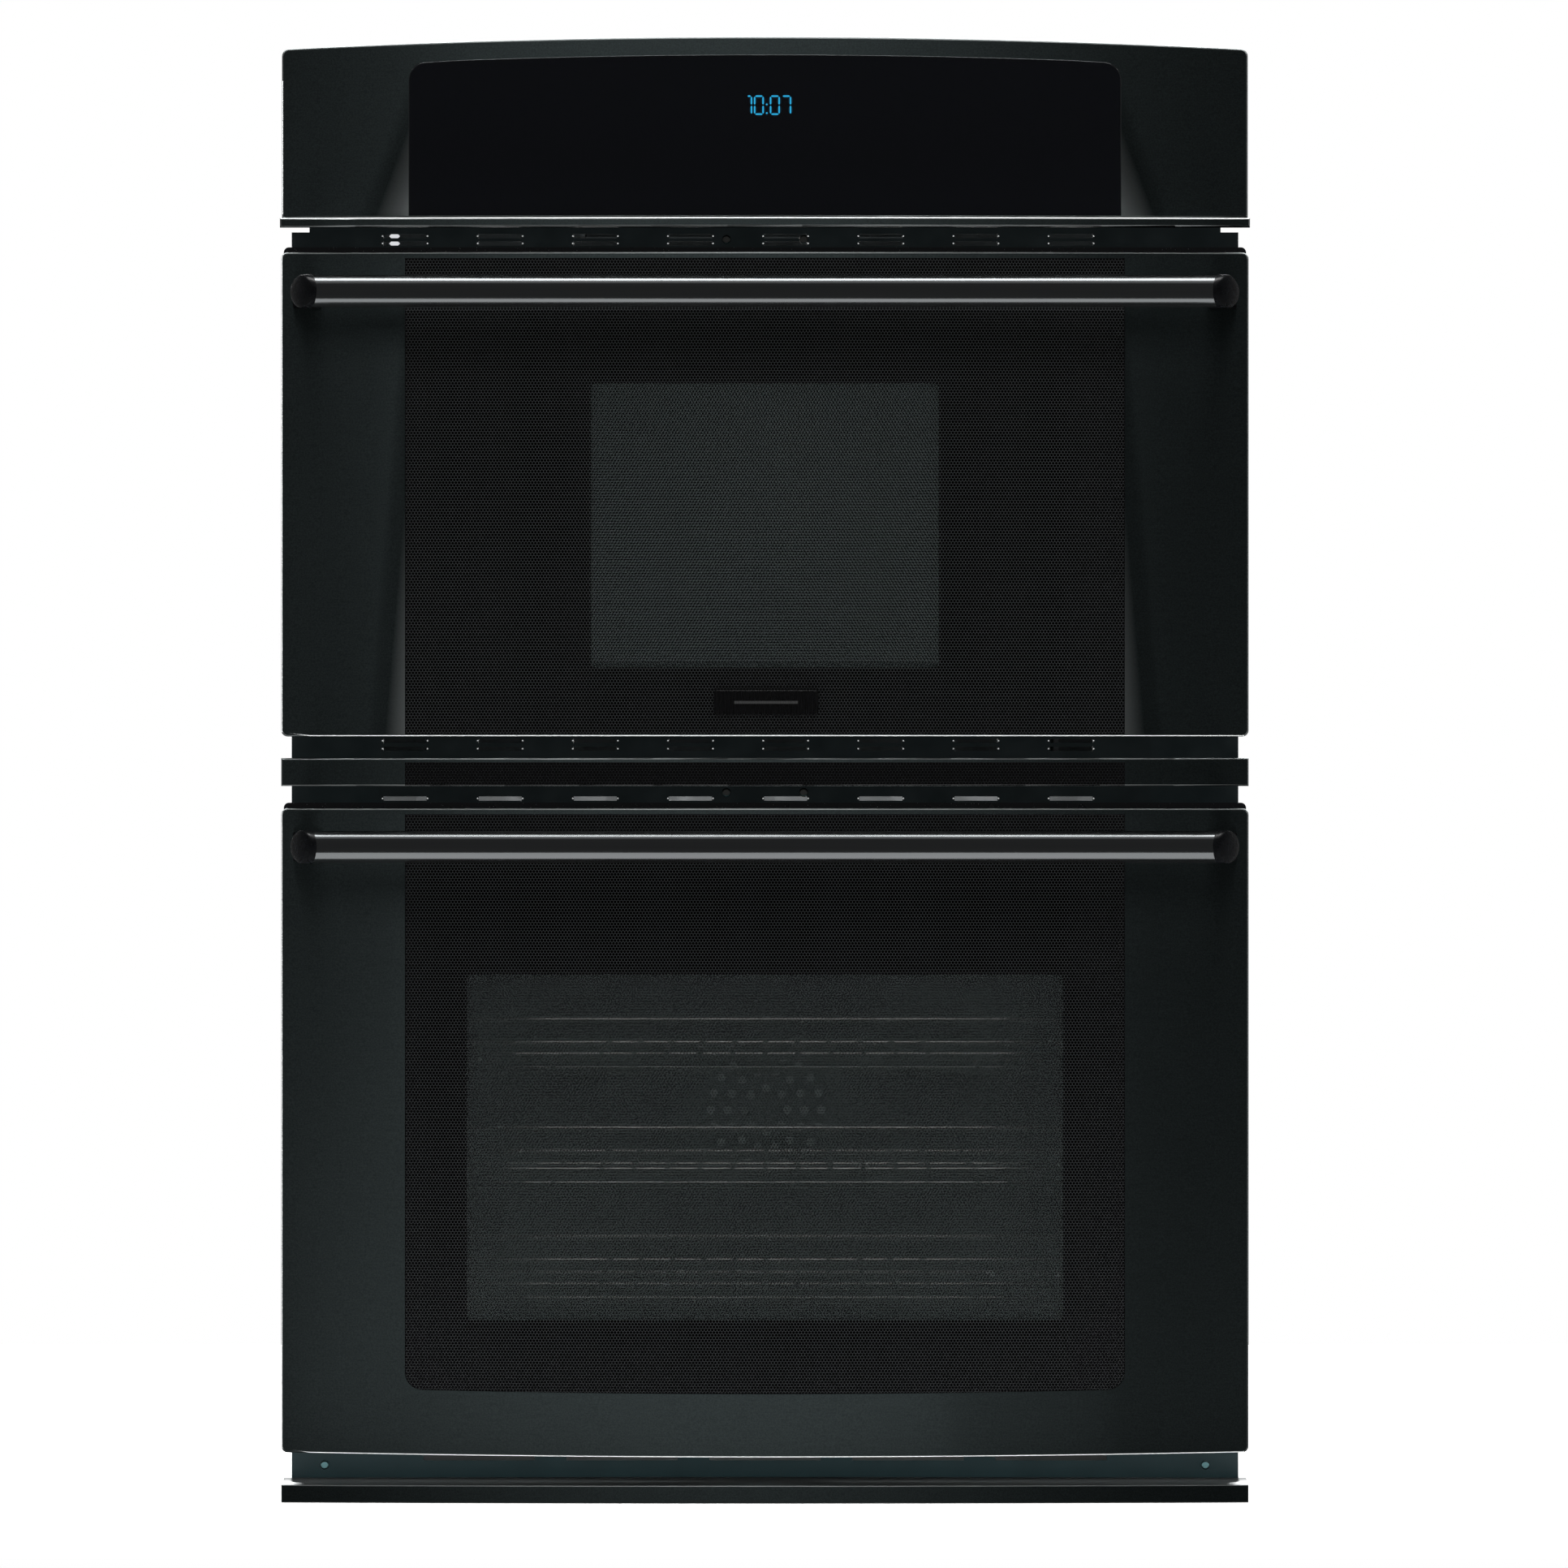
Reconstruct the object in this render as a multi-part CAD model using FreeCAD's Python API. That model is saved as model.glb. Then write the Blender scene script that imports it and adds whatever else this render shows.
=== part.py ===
import FreeCAD, Part
import math
import os

# Combination wall oven, millimetres.
# Frame: X to the right, Y into the cabinet, Z up. Origin: underside of the base pan,
# in the middle of its width, on the plane of the cabinet face (back of the mounting flange).

V = FreeCAD.Vector

# ---- whole appliance ----
FACE_HALF = 380.0  # half width of the doors and trims
CHASSIS_HALF = 359.0
CHASSIS_DEPTH = 560.0
CHASSIS_TOP = 1125.0
SHEET = 1.2  # chassis and cavity sheet
SKIN = 1.6  # visible outer sheet
GAP = 0.3
CONDUIT_R = 11.1  # knock-out for the supply conduit

# ---- planes parallel to the cabinet face ----
FRAME_BACK = -0.5
FRAME_FRONT = -2.0
GASKET_FRONT = -5.7
DOOR_INNER = -6.0
LINER_FRONT = -40.0
BOW_FRONT = -62.0  # front of the bowed faces on the centre line
BOW_SAG = 12.0  # how far the bow falls back at the edges
BOW_RADIUS = (FACE_HALF**2 + BOW_SAG**2) / (2 * BOW_SAG)
FAR_FRONT = -80.0  # clear of everything bowed

# ---- front frame ----
FLANGE_HALF = 374.0
FLANGE_STEP = CHASSIS_HALF + 0.4
FLANGE_TOP = 1000.4
MOUNT_HOLE_X = 367.0
MOUNT_HOLE_LOW = 120.0
MOUNT_HOLE_HIGH = 900.0
MOUNT_HOLE_R = 2.6

# ---- lower oven ----
OVEN_HALF = 305.0
OVEN_FLOOR = 92.0
OVEN_CEILING = 492.0
OVEN_DEPTH = 490.0
FAN_HEIGHT = 292.0
LATCH_PIVOT = (36.0, 22.0)
LATCH_SLOT = (-34.0, 24.0, 514.0, 532.0)  # left, right, low and high of the slot in the lower door's liner

# ---- microwave ----
MICRO_HALF = 215.0
MICRO_FLOOR = 640.0
MICRO_CEILING = 900.0
MICRO_DEPTH = 430.0
TABLE_Y = 215.0

# ---- trims ----
BASE_TRIM_FRONT_TOP = 14.0
BASE_TRIM_BACK_TOP = 18.0
TRIM_OVERRUN = 15.0  # the swept trim runs this far past the face before it is cut off square
CENTER_TRIM_LOW = 562.9
CENTER_TRIM_HIGH = 584.9
LIP_LOW = 1001.8
PANEL_LOW = 1009.0
PANEL_HIGH = 1141.8
PANEL_RISE = 9.0  # crown of the arched top
PANEL_HALF = 379.4
PANEL_GLASS_HALF = 279.4
PANEL_GLASS_HIGH = 1131.0
PANEL_GLASS_RISE = 5.2

# ---- doors ----
GLASS_HALF = 282.6
GLASS_THICK = 4.0
PIVOT_Y = -39.0
HINGE_X = 330.0
PIN_R = 4.0
PIN_CLEAR = 0.05
HANDLE_Y = -104.0
HANDLE_R = 12.5
HANDLE_BORE_R = 11.0
HANDLE_END_X = 354.5
HANDLE_END_TILT = 22.0  # degrees, the sockets' rims lean inwards at the front
FOOT_X = 359.4
FOOT_SIZE = 22.4
LINER_HALF = 378.4

LOWER = {
    "low": 39.4, "sag": 3.4, "high": 545.4, "liner_high": 549.8,
    "glass_low": 89.2, "glass_sag": 3.4, "glass_high": 540.9, "glass_radius": 14.0,
    "window_half": 244.0, "window_low": 134.0, "window_high": 425.0,
    "pivot": 50.0, "handle": 515.4,
}
UPPER = {
    "low": 601.8, "sag": 0.0, "high": 982.0, "liner_high": 986.6,
    "glass_low": 603.5, "glass_sag": 0.0, "glass_high": 977.3, "glass_radius": 0.0,
    "window_half": 150.0, "window_low": 643.0, "window_high": 892.0,
    "pivot": 614.0, "handle": 949.0,
}

# ---- vent slots in the front frame ----
SLOT_LENGTH = 34.0
SLOT_HEIGHT = 3.4
SLOT_PITCH = 75.2
SLOT_FIRST = -284.5
SLOT_COUNT = 8
TOP_SLOT_ROWS = (991.6, 997.4)
CENTER_SLOT_ROWS = (553.0, 592.3, 598.6)
BOTTOM_SLOT_ROW = 32.0

# ---- racks ----
RACK_LEVELS = {"rack_bottom": 156.0, "rack_middle": 247.0, "rack_top": 338.0}
RACK_PITCH = 45.5
RACK_HALF = 287.0
RACK_FRONT = 12.0
RACK_BACK = 455.0
BAR_R = 3.0
WIRE_R = 2.0
GUIDE_R = 2.5

# ---- dome screws of the front frame ----
SCREW_HOLE_R = 1.6
SCREW_HEAD_R = 3.6
SCREW_X = 30.5  # beside the middle of the top and center rails
TOP_SCREW_Z = 994.8
CENTER_SCREW_Z = 557.8
STILE_SCREW = (348.0, 26.4)
SCREW_POSITIONS = [
    (-SCREW_X, TOP_SCREW_Z), (SCREW_X, TOP_SCREW_Z),
    (-SCREW_X, CENTER_SCREW_Z), (SCREW_X, CENTER_SCREW_Z),
    (-STILE_SCREW[0], STILE_SCREW[1]), STILE_SCREW,
]


# ---------------------------------------------------------------- helpers


def box(x0, x1, y0, y1, z0, z1):
    return Part.makeBox(x1 - x0, y1 - y0, z1 - z0, V(x0, y0, z0))


def rod(radius, start, end):
    start = V(*start)
    along = V(*end) - start
    return Part.makeCylinder(radius, along.Length, start, along)


def fuse(shapes):
    return shapes[0].multiFuse(shapes[1:]).removeSplitter()


def mirrored(shape):
    return shape.mirror(V(0, 0, 0), V(1, 0, 0))


def both_sides(shape):
    """The shape and its mirror image across the middle, as separate solids."""
    return Part.makeCompound([shape, mirrored(shape)])


def save(name, *shapes):
    shape = shapes[0] if len(shapes) == 1 else Part.makeCompound(list(shapes))
    shape.exportStep("parts/" + name + ".step")
    print(name, len(shape.Solids), round(shape.Volume))


def bow_drop(x):
    """How far the bowed face lies behind its crown at x."""
    return BOW_RADIUS - math.sqrt(BOW_RADIUS**2 - x**2)


def bow_arc(half, crown, z):
    ends = crown + bow_drop(half)
    return Part.Arc(V(-half, ends, z), V(0, crown, z), V(half, ends, z)).toShape()


def ring_of(first, second):
    """A closed wire from two edges and the straight lines that join their ends."""
    a, b = first.Vertexes[0].Point, first.Vertexes[-1].Point
    c, d = second.Vertexes[0].Point, second.Vertexes[-1].Point
    joints = [Part.makeLine(a, c), Part.makeLine(b, d)]
    return Part.Wire(Part.__sortEdges__([first, second] + joints))


def bowed_block(half, crown, back, z0, z1):
    """A block with a bowed front and a flat back."""
    flat = Part.makeLine(V(-half, back, z0), V(half, back, z0))
    return Part.Face(ring_of(bow_arc(half, crown, z0), flat)).extrude(V(0, 0, z1 - z0))


def bowed_sheet(half, crown, thickness, z0, z1):
    back = bow_arc(half, crown + thickness, z0)
    return Part.Face(ring_of(bow_arc(half, crown, z0), back)).extrude(V(0, 0, z1 - z0))


def level_edge(half, z, rise, y):
    """A crosswise edge at height z, crowned upwards by rise in the middle."""
    if rise == 0:
        return Part.makeLine(V(-half, y, z), V(half, y, z))
    return Part.Arc(V(-half, y, z), V(0, y, z + rise), V(half, y, z)).toShape()


def edges_along_y(shape, z):
    found = []
    for edge in shape.Edges:
        a, b = edge.Vertexes[0].Point, edge.Vertexes[-1].Point
        if abs(a.z - z) < 0.01 and abs(b.z - z) < 0.01 and abs(a.x - b.x) < 0.01 < abs(a.y - b.y):
            found.append(edge)
    return found


def face_prism(half, z0, z1, y0, y1, low_rise=0.0, high_rise=0.0, low_radius=0.0, high_radius=0.0):
    """The front outline of a door or panel, run from y0 back to y1."""
    outline = ring_of(level_edge(half, z0, low_rise, y0), level_edge(half, z1, high_rise, y0))
    prism = Part.Face(outline).extrude(V(0, y1 - y0, 0))
    for radius, z in ((low_radius, z0), (high_radius, z1)):
        if radius > 0:
            prism = prism.makeFillet(radius, edges_along_y(prism, z))
    return prism


def soften_front(shape, radius):
    """Rounds the rim of the foremost face."""
    front = min(shape.Faces, key=lambda face: face.CenterOfMass.y)
    return shape.makeFillet(radius, front.OuterWire.Edges)


def slots(centres, length, height, y0, y1, z):
    return [box(x - length / 2, x + length / 2, y0, y1, z - height / 2, z + height / 2) for x in centres]


# ---------------------------------------------------------------- chassis


def chassis():
    inner = CHASSIS_HALF - SHEET
    back = CHASSIS_DEPTH - SHEET
    lip = 18.0
    pan = box(-inner, inner, FRAME_BACK, back, 0, lip)
    pan = pan.cut(box(-inner + SHEET, inner - SHEET, FRAME_BACK + SHEET, back - SHEET, SHEET, lip + 1))
    save("chassis_base", pan)

    side = box(inner, CHASSIS_HALF, FRAME_BACK, CHASSIS_DEPTH, 0, CHASSIS_TOP)
    louvres = []
    for y in (120.0, 330.0):
        for step in range(8):
            z = 1010.0 + 12.0 * step
            louvres.append(box(inner - 1, CHASSIS_HALF + 1, y, y + 90.0, z, z + 4.0))
    side = side.cut(Part.makeCompound(louvres))
    save("chassis_side_right", side)
    save("chassis_side_left", mirrored(side))

    rear = box(-inner, inner, back, CHASSIS_DEPTH, SHEET, CHASSIS_TOP)
    vents = []
    for z in (980.0, 992.0, 1004.0, 1016.0):
        vents += slots([-200.0 + 40.0 * i for i in range(8)], 28.0, 5.0, back - 1, CHASSIS_DEPTH + 1, z)
    wire_hole = rod(14.0, (290, back - 1, 1070), (290, CHASSIS_DEPTH + 1, 1070))
    rear = rear.cut(Part.makeCompound(vents + [wire_hole]))
    save("chassis_back", rear)

    roof = box(-inner, inner, FRAME_BACK, back, CHASSIS_TOP - SHEET, CHASSIS_TOP)
    vents = [box(x, x + 5.0, 300.0, 360.0, 1100.0, 1130.0) for x in range(-200, 201, 20)]
    save("chassis_top", roof.cut(Part.makeCompound(vents)))

    shelf = box(-inner, inner, FRAME_BACK, back, 570.0, 570.0 + SHEET)
    save("oven_divider_shelf", shelf)


def conduit_box():
    """Junction box on the back with the round knock-out for the armoured supply conduit."""
    x0, x1, z0, z1 = 250.0, 330.0, 1036.0, 1104.0
    y1 = CHASSIS_DEPTH + 28.0
    wall = 2.0
    body = box(x0, x1, CHASSIS_DEPTH, y1, z0, z1)
    body = body.cut(box(x0 + wall, x1 - wall, CHASSIS_DEPTH - 1, y1 - wall, z0 + wall, z1 - wall))
    middle = CHASSIS_DEPTH + 13.0
    save("conduit_box", body.cut(rod(CONDUIT_R, (290, middle, z0 - 1), (290, middle, z0 + wall + 1))))


# ---------------------------------------------------------------- front frame


def frame():
    main = box(OVEN_HALF, FLANGE_STEP + 0.6, FRAME_FRONT, FRAME_BACK, 0, CHASSIS_TOP)
    flange = box(FLANGE_STEP, FLANGE_HALF, FRAME_FRONT, 0, 0, FLANGE_TOP)
    stile = fuse([main, flange])
    holes = []
    for z in (MOUNT_HOLE_LOW, MOUNT_HOLE_HIGH):
        holes.append(rod(MOUNT_HOLE_R, (MOUNT_HOLE_X, -3, z), (MOUNT_HOLE_X, 1, z)))
    x, z = STILE_SCREW
    holes.append(rod(SCREW_HOLE_R, (x, -3, z), (x, 1, z)))
    stile = stile.cut(Part.makeCompound(holes))
    save("frame_stile_right", stile)
    save("frame_stile_left", mirrored(stile))

    centres = [SLOT_FIRST + SLOT_PITCH * i for i in range(SLOT_COUNT)]
    bottom = box(-OVEN_HALF, OVEN_HALF, FRAME_FRONT, FRAME_BACK, 0, OVEN_FLOOR - SHEET)
    bottom_cuts = slots([-226.0 + 113.0 * i for i in range(5)], 88.0, 4.0, -3, 1, BOTTOM_SLOT_ROW)
    save("frame_bottom_rail", bottom.cut(Part.makeCompound(bottom_cuts)))

    center = box(-OVEN_HALF, OVEN_HALF, FRAME_FRONT, FRAME_BACK, OVEN_CEILING + SHEET, MICRO_FLOOR - SHEET)
    cuts = [rod(SCREW_HOLE_R, (x, -3, CENTER_SCREW_Z), (x, 1, CENTER_SCREW_Z)) for x in (-SCREW_X, SCREW_X)]
    for z in CENTER_SLOT_ROWS:
        cuts += slots(centres, SLOT_LENGTH, SLOT_HEIGHT, -3, 1, z)
    cuts.append(box(-36.0, 24.0, -3, 1, 518.0, 526.0))
    save("frame_center_rail", fuse([center.cut(Part.makeCompound(cuts)), latch_bracket()]))

    top = box(-OVEN_HALF, OVEN_HALF, FRAME_FRONT, FRAME_BACK, MICRO_CEILING + SHEET, CHASSIS_TOP)
    cuts = [rod(SCREW_HOLE_R, (x, -3, TOP_SCREW_Z), (x, 1, TOP_SCREW_Z)) for x in (-SCREW_X, SCREW_X)]
    for z in TOP_SLOT_ROWS:
        cuts += slots(centres, SLOT_LENGTH, SLOT_HEIGHT, -3, 1, z)
    save("frame_top_rail", top.cut(Part.makeCompound(cuts)))

    cheek = box(
        MICRO_HALF + SHEET, OVEN_HALF, FRAME_FRONT, FRAME_BACK,
        MICRO_FLOOR - SHEET, MICRO_CEILING + SHEET,
    )
    save("microwave_cheek_plates", both_sides(cheek))


def frame_screws():
    screws = []
    for x, z in SCREW_POSITIONS:
        head = rod(SCREW_HEAD_R, (x, FRAME_FRONT, z), (x, FRAME_FRONT - 2.0, z))
        head = head.makeFillet(1.4, [max(head.Edges, key=lambda e: -e.CenterOfMass.y)])
        screws.append(fuse([head, rod(SCREW_HOLE_R, (x, FRAME_FRONT, z), (x, 6.0, z))]))
    save("frame_screws", *screws)


# ---------------------------------------------------------------- trims and control panel


def flanged_shell(outer, inner, opening):
    """A folded sheet cover: hollow behind, with a narrow flange left round its back edge."""
    return outer.cut(inner).cut(opening)


def sloped_sweep(front, low, back_high, front_high, back):
    """A bar with a sloping top, swept along the bow and past both ends of the face."""
    points = [V(0, front, low), V(0, front, front_high), V(0, back, back_high), V(0, back, low)]
    face = Part.Face(Part.makePolygon(points + points[:1]))
    half_turn = math.degrees(math.asin((FACE_HALF + TRIM_OVERRUN) / BOW_RADIUS))
    centre = V(0, BOW_FRONT + BOW_RADIUS, 0)
    face.rotate(centre, V(0, 0, 1), -half_turn)
    return face.revolve(centre, V(0, 0, 1), 2 * half_turn)


def base_trim():
    outer = sloped_sweep(BOW_FRONT, 0.0, BASE_TRIM_BACK_TOP, BASE_TRIM_FRONT_TOP, 20.0)
    outer = outer.common(box(-FACE_HALF, FACE_HALF, FAR_FRONT, FRAME_FRONT, -1, 30))
    inner = sloped_sweep(BOW_FRONT + SKIN, SKIN, BASE_TRIM_BACK_TOP - SKIN, BASE_TRIM_FRONT_TOP - SKIN, 20.0)
    inner = inner.common(box(-FACE_HALF + SKIN, FACE_HALF - SKIN, FAR_FRONT, FRAME_FRONT + 1, -1, 30))
    front = min(outer.Faces, key=lambda face: face.CenterOfMass.y)
    outer = outer.makeFillet(0.8, front.OuterWire.Edges)
    save("base_trim", outer.cut(inner))


def center_trim():
    z0, z1 = CENTER_TRIM_LOW, CENTER_TRIM_HIGH
    outer = bowed_block(FACE_HALF, BOW_FRONT, FRAME_FRONT, z0, z1)
    outer = soften_front(outer, 1.2)
    inner = bowed_block(FACE_HALF - SKIN, BOW_FRONT + SKIN, FRAME_FRONT - SKIN, z0 + SKIN, z1 - SKIN)
    opening = box(-340.0, 340.0, -10, 0, z0 + SKIN, z1 - SKIN)
    save("center_trim", flanged_shell(outer, inner, opening))


def control_panel():
    lip = bowed_block(FACE_HALF + 1.0, BOW_FRONT - 1.5, -44.0, LIP_LOW, PANEL_LOW)
    save("control_lip", soften_front(lip, 1.4))

    outer = face_prism(
        PANEL_HALF, PANEL_LOW, PANEL_HIGH, FAR_FRONT, FRAME_FRONT, high_rise=PANEL_RISE, high_radius=6.0
    )
    outer = outer.common(
        bowed_block(PANEL_HALF + 5, BOW_FRONT, FRAME_FRONT + 1, PANEL_LOW - 5, PANEL_HIGH + 20)
    )
    outer = soften_front(outer, 1.5)
    inner = face_prism(
        PANEL_HALF - SKIN, PANEL_LOW + SKIN, PANEL_HIGH - SKIN, FAR_FRONT, FRAME_FRONT - SKIN,
        high_rise=PANEL_RISE, high_radius=6.0 - SKIN,
    )
    crown = BOW_FRONT + SKIN
    inner = inner.common(bowed_block(PANEL_HALF + 5, crown, FRAME_FRONT + 1, PANEL_LOW - 5, PANEL_HIGH + 20))
    opening = box(-345.0, 345.0, -10, 5, PANEL_LOW + SKIN, PANEL_HIGH - 12.0)
    low = PANEL_LOW + SKIN
    window = face_prism(
        PANEL_GLASS_HALF, low, PANEL_GLASS_HIGH, FAR_FRONT, -50.0,
        high_rise=PANEL_GLASS_RISE, high_radius=14.0,
    )
    save("control_fascia", flanged_shell(outer, inner, opening).cut(window))

    pane = face_prism(
        PANEL_GLASS_HALF - 0.3, low, PANEL_GLASS_HIGH - 0.3, FAR_FRONT, -40.0,
        high_rise=PANEL_GLASS_RISE, high_radius=13.7,
    )
    sheet = bowed_sheet(PANEL_HALF, BOW_FRONT + 0.1, GLASS_THICK, PANEL_LOW - 5, PANEL_HIGH + 20)
    save("control_glass", pane.common(sheet))


def control_board():
    board = box(-150.0, 150.0, -30.0, -28.4, 1035.0, 1120.0)
    display = box(-48.0, 56.0, -44.0, -30.0, 1076.0, 1116.0)
    parts = [board, display]
    parts_on_board = ((-120, 40, 12, 1050), (-60, 24, 8, 1048), (70, 50, 22, 1045), (128, 16, 14, 1090))
    for x, width, depth, z in parts_on_board:
        parts.append(box(x - width / 2, x + width / 2, -28.4, -28.4 + depth, z - 9, z + 9))
    for x in (-140.0, 140.0):
        for z in (1042.0, 1112.0):
            parts.append(rod(3.0, (x, -28.4, z), (x, FRAME_FRONT, z)))
    save("control_board", *parts)


# ---------------------------------------------------------------- lower oven


def cavity_plates(half, floor, ceiling, depth):
    outside = half + SHEET
    low = box(-outside, outside, FRAME_BACK, depth, floor - SHEET, floor)
    high = box(-outside, outside, FRAME_BACK, depth, ceiling, ceiling + SHEET)
    wall = box(half, outside, FRAME_BACK, depth, floor, ceiling)
    return [low, high, wall, mirrored(wall)]


def oven_cavity():
    plates = cavity_plates(OVEN_HALF, OVEN_FLOOR, OVEN_CEILING, OVEN_DEPTH)
    lamp_hole = rod(24.0, (OVEN_HALF - 1, 400, 440), (OVEN_HALF + 3, 400, 440))
    plates[2] = plates[2].cut(lamp_hole)
    plates[3] = plates[3].cut(mirrored(lamp_hole))
    rear = box(
        -OVEN_HALF - SHEET, OVEN_HALF + SHEET, OVEN_DEPTH, OVEN_DEPTH + SHEET, OVEN_FLOOR, OVEN_CEILING
    )
    holes = [rod(9.0, (0, 480, FAN_HEIGHT), (0, 500, FAN_HEIGHT)), rod(3.0, (240, 480, 445), (240, 500, 445))]
    for x in (-60.0, 60.0):
        holes.append(rod(3.6, (x, 480, 470), (x, 500, 470)))
    save("oven_cavity_walls", *plates, rear.cut(Part.makeCompound(holes)))


def oven_insulation():
    side = box(OVEN_HALF + 2, 346.0, 4.0, 530.0, 50.0, 530.0)
    side = side.cut(rod(27.0, (300, 400, 440), (350, 400, 440)))
    top = box(-OVEN_HALF - 2, OVEN_HALF + 2, 75.0, 530.0, OVEN_CEILING + 2, 530.0)
    bottom = box(-OVEN_HALF - 2, OVEN_HALF + 2, 4.0, 530.0, 50.0, 76.0)
    rear = box(-OVEN_HALF - 2, OVEN_HALF + 2, OVEN_DEPTH + 2, 530.0, 76.0, OVEN_CEILING + 2)
    cuts = [rod(42.0, (0, 480, FAN_HEIGHT), (0, 540, FAN_HEIGHT)), rod(6.0, (240, 480, 445), (240, 540, 445))]
    for x in (-60.0, 60.0):
        cuts.append(rod(6.0, (x, 480, 470), (x, 540, 470)))
    for x in (-40.0, 40.0):
        cuts.append(rod(6.0, (x, 480, 84), (x, 540, 84)))
    save("oven_insulation", side, mirrored(side), top, bottom, rear.cut(Part.makeCompound(cuts)))


def rack_guides():
    """Wire ladders on the side walls; each rack rides on one pair of rungs."""
    wires = []
    for index in range(7):
        z = RACK_LEVELS["rack_bottom"] + RACK_PITCH * (index - 1) - BAR_R - GAP - GUIDE_R
        wires.append(rod(GUIDE_R, (290.0, 14.0, z), (290.0, 462.0, z)))
    for y in (24.0, 240.0, 452.0):
        wires.append(rod(GUIDE_R, (290.0 + 2 * GUIDE_R, y, 98.0), (290.0 + 2 * GUIDE_R, y, 400.0)))
    save("rack_guides", *wires, *[mirrored(wire) for wire in wires])


def rack(z):
    """A chrome wire rack: a lower loop, a raised deck and a taller back stop."""
    deck = z + 10.5
    stop = z + 30.0
    half = RACK_HALF
    bars = [
        rod(BAR_R, (-half, RACK_FRONT, z), (half, RACK_FRONT, z)),
        rod(BAR_R, (-half, RACK_BACK, z), (half, RACK_BACK, z)),
        rod(BAR_R, (-half, RACK_FRONT + 8, deck), (half, RACK_FRONT + 8, deck)),
        rod(BAR_R, (-half, RACK_BACK, deck), (half, RACK_BACK, deck)),
        rod(BAR_R, (-half, RACK_BACK, stop), (half, RACK_BACK, stop)),
    ]
    for side in (-half, half):
        bars.append(rod(BAR_R, (side, RACK_FRONT, z), (side, RACK_BACK, z)))
        bars.append(rod(BAR_R, (side, RACK_BACK, z), (side, RACK_BACK, stop)))
        bars.append(rod(BAR_R, (side, RACK_FRONT + 8, z), (side, RACK_FRONT + 8, deck)))
        for y in (RACK_FRONT, RACK_BACK):
            bars.append(Part.makeSphere(BAR_R, V(side, y, z)))
    for index in range(11):
        x = 25.9 * (index - 5)
        top = deck + BAR_R + WIRE_R - 0.8
        bars.append(rod(WIRE_R, (x, RACK_FRONT + 6, top), (x, RACK_BACK + 2, top)))
    for index in range(4):
        x = 168.0 + 25.4 * index
        top = z + BAR_R + WIRE_R - 0.8
        for side in (-x, x):
            bars.append(rod(WIRE_R, (side, RACK_FRONT - 2, top), (side, RACK_BACK + 2, top)))
    return fuse(bars)


def heater(radius, points, bend):
    """A tubular element: straight runs in a level plane joined by quarter bends."""
    solids = []
    starts = [V(*p) for p in points]
    run_start = starts[0]
    for before, corner, after in zip(starts, starts[1:], starts[2:]):
        arrive = (corner - before).normalize()
        leave = (after - corner).normalize()
        first = corner - arrive * bend
        last = corner + leave * bend
        centre = first + leave * bend
        solids.append(rod(radius, tuple(run_start), tuple(first)))
        middle = centre + ((first - centre) + (last - centre)).normalize() * bend
        path = Part.Wire([Part.Arc(first, middle, last).toShape()])
        profile = Part.Wire([Part.Circle(first, arrive, radius).toShape()])
        solids.append(path.makePipeShell([profile], True, True))
        run_start = last
    solids.append(rod(radius, tuple(run_start), tuple(starts[-1])))
    return fuse(solids)


def elements():
    z = 470.0
    back = OVEN_DEPTH + 40.0
    points = [(-60, back, z), (-60, 440, z), (-240, 440, z), (-240, 60, z), (-160, 60, z), (-160, 380, z)]
    points += [(-80, 380, z), (-80, 60, z), (0, 60, z)]
    left = heater(3.2, points, 24.0)
    broil = fuse([left, mirrored(left)])
    save("broil_element", broil)
    z = 84.0
    points = [(-40, back, z), (-40, 420, z), (-230, 420, z), (-230, 80, z), (0, 80, z)]
    left = heater(3.2, points, 30.0)
    save("bake_element", fuse([left, mirrored(left)]))


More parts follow.
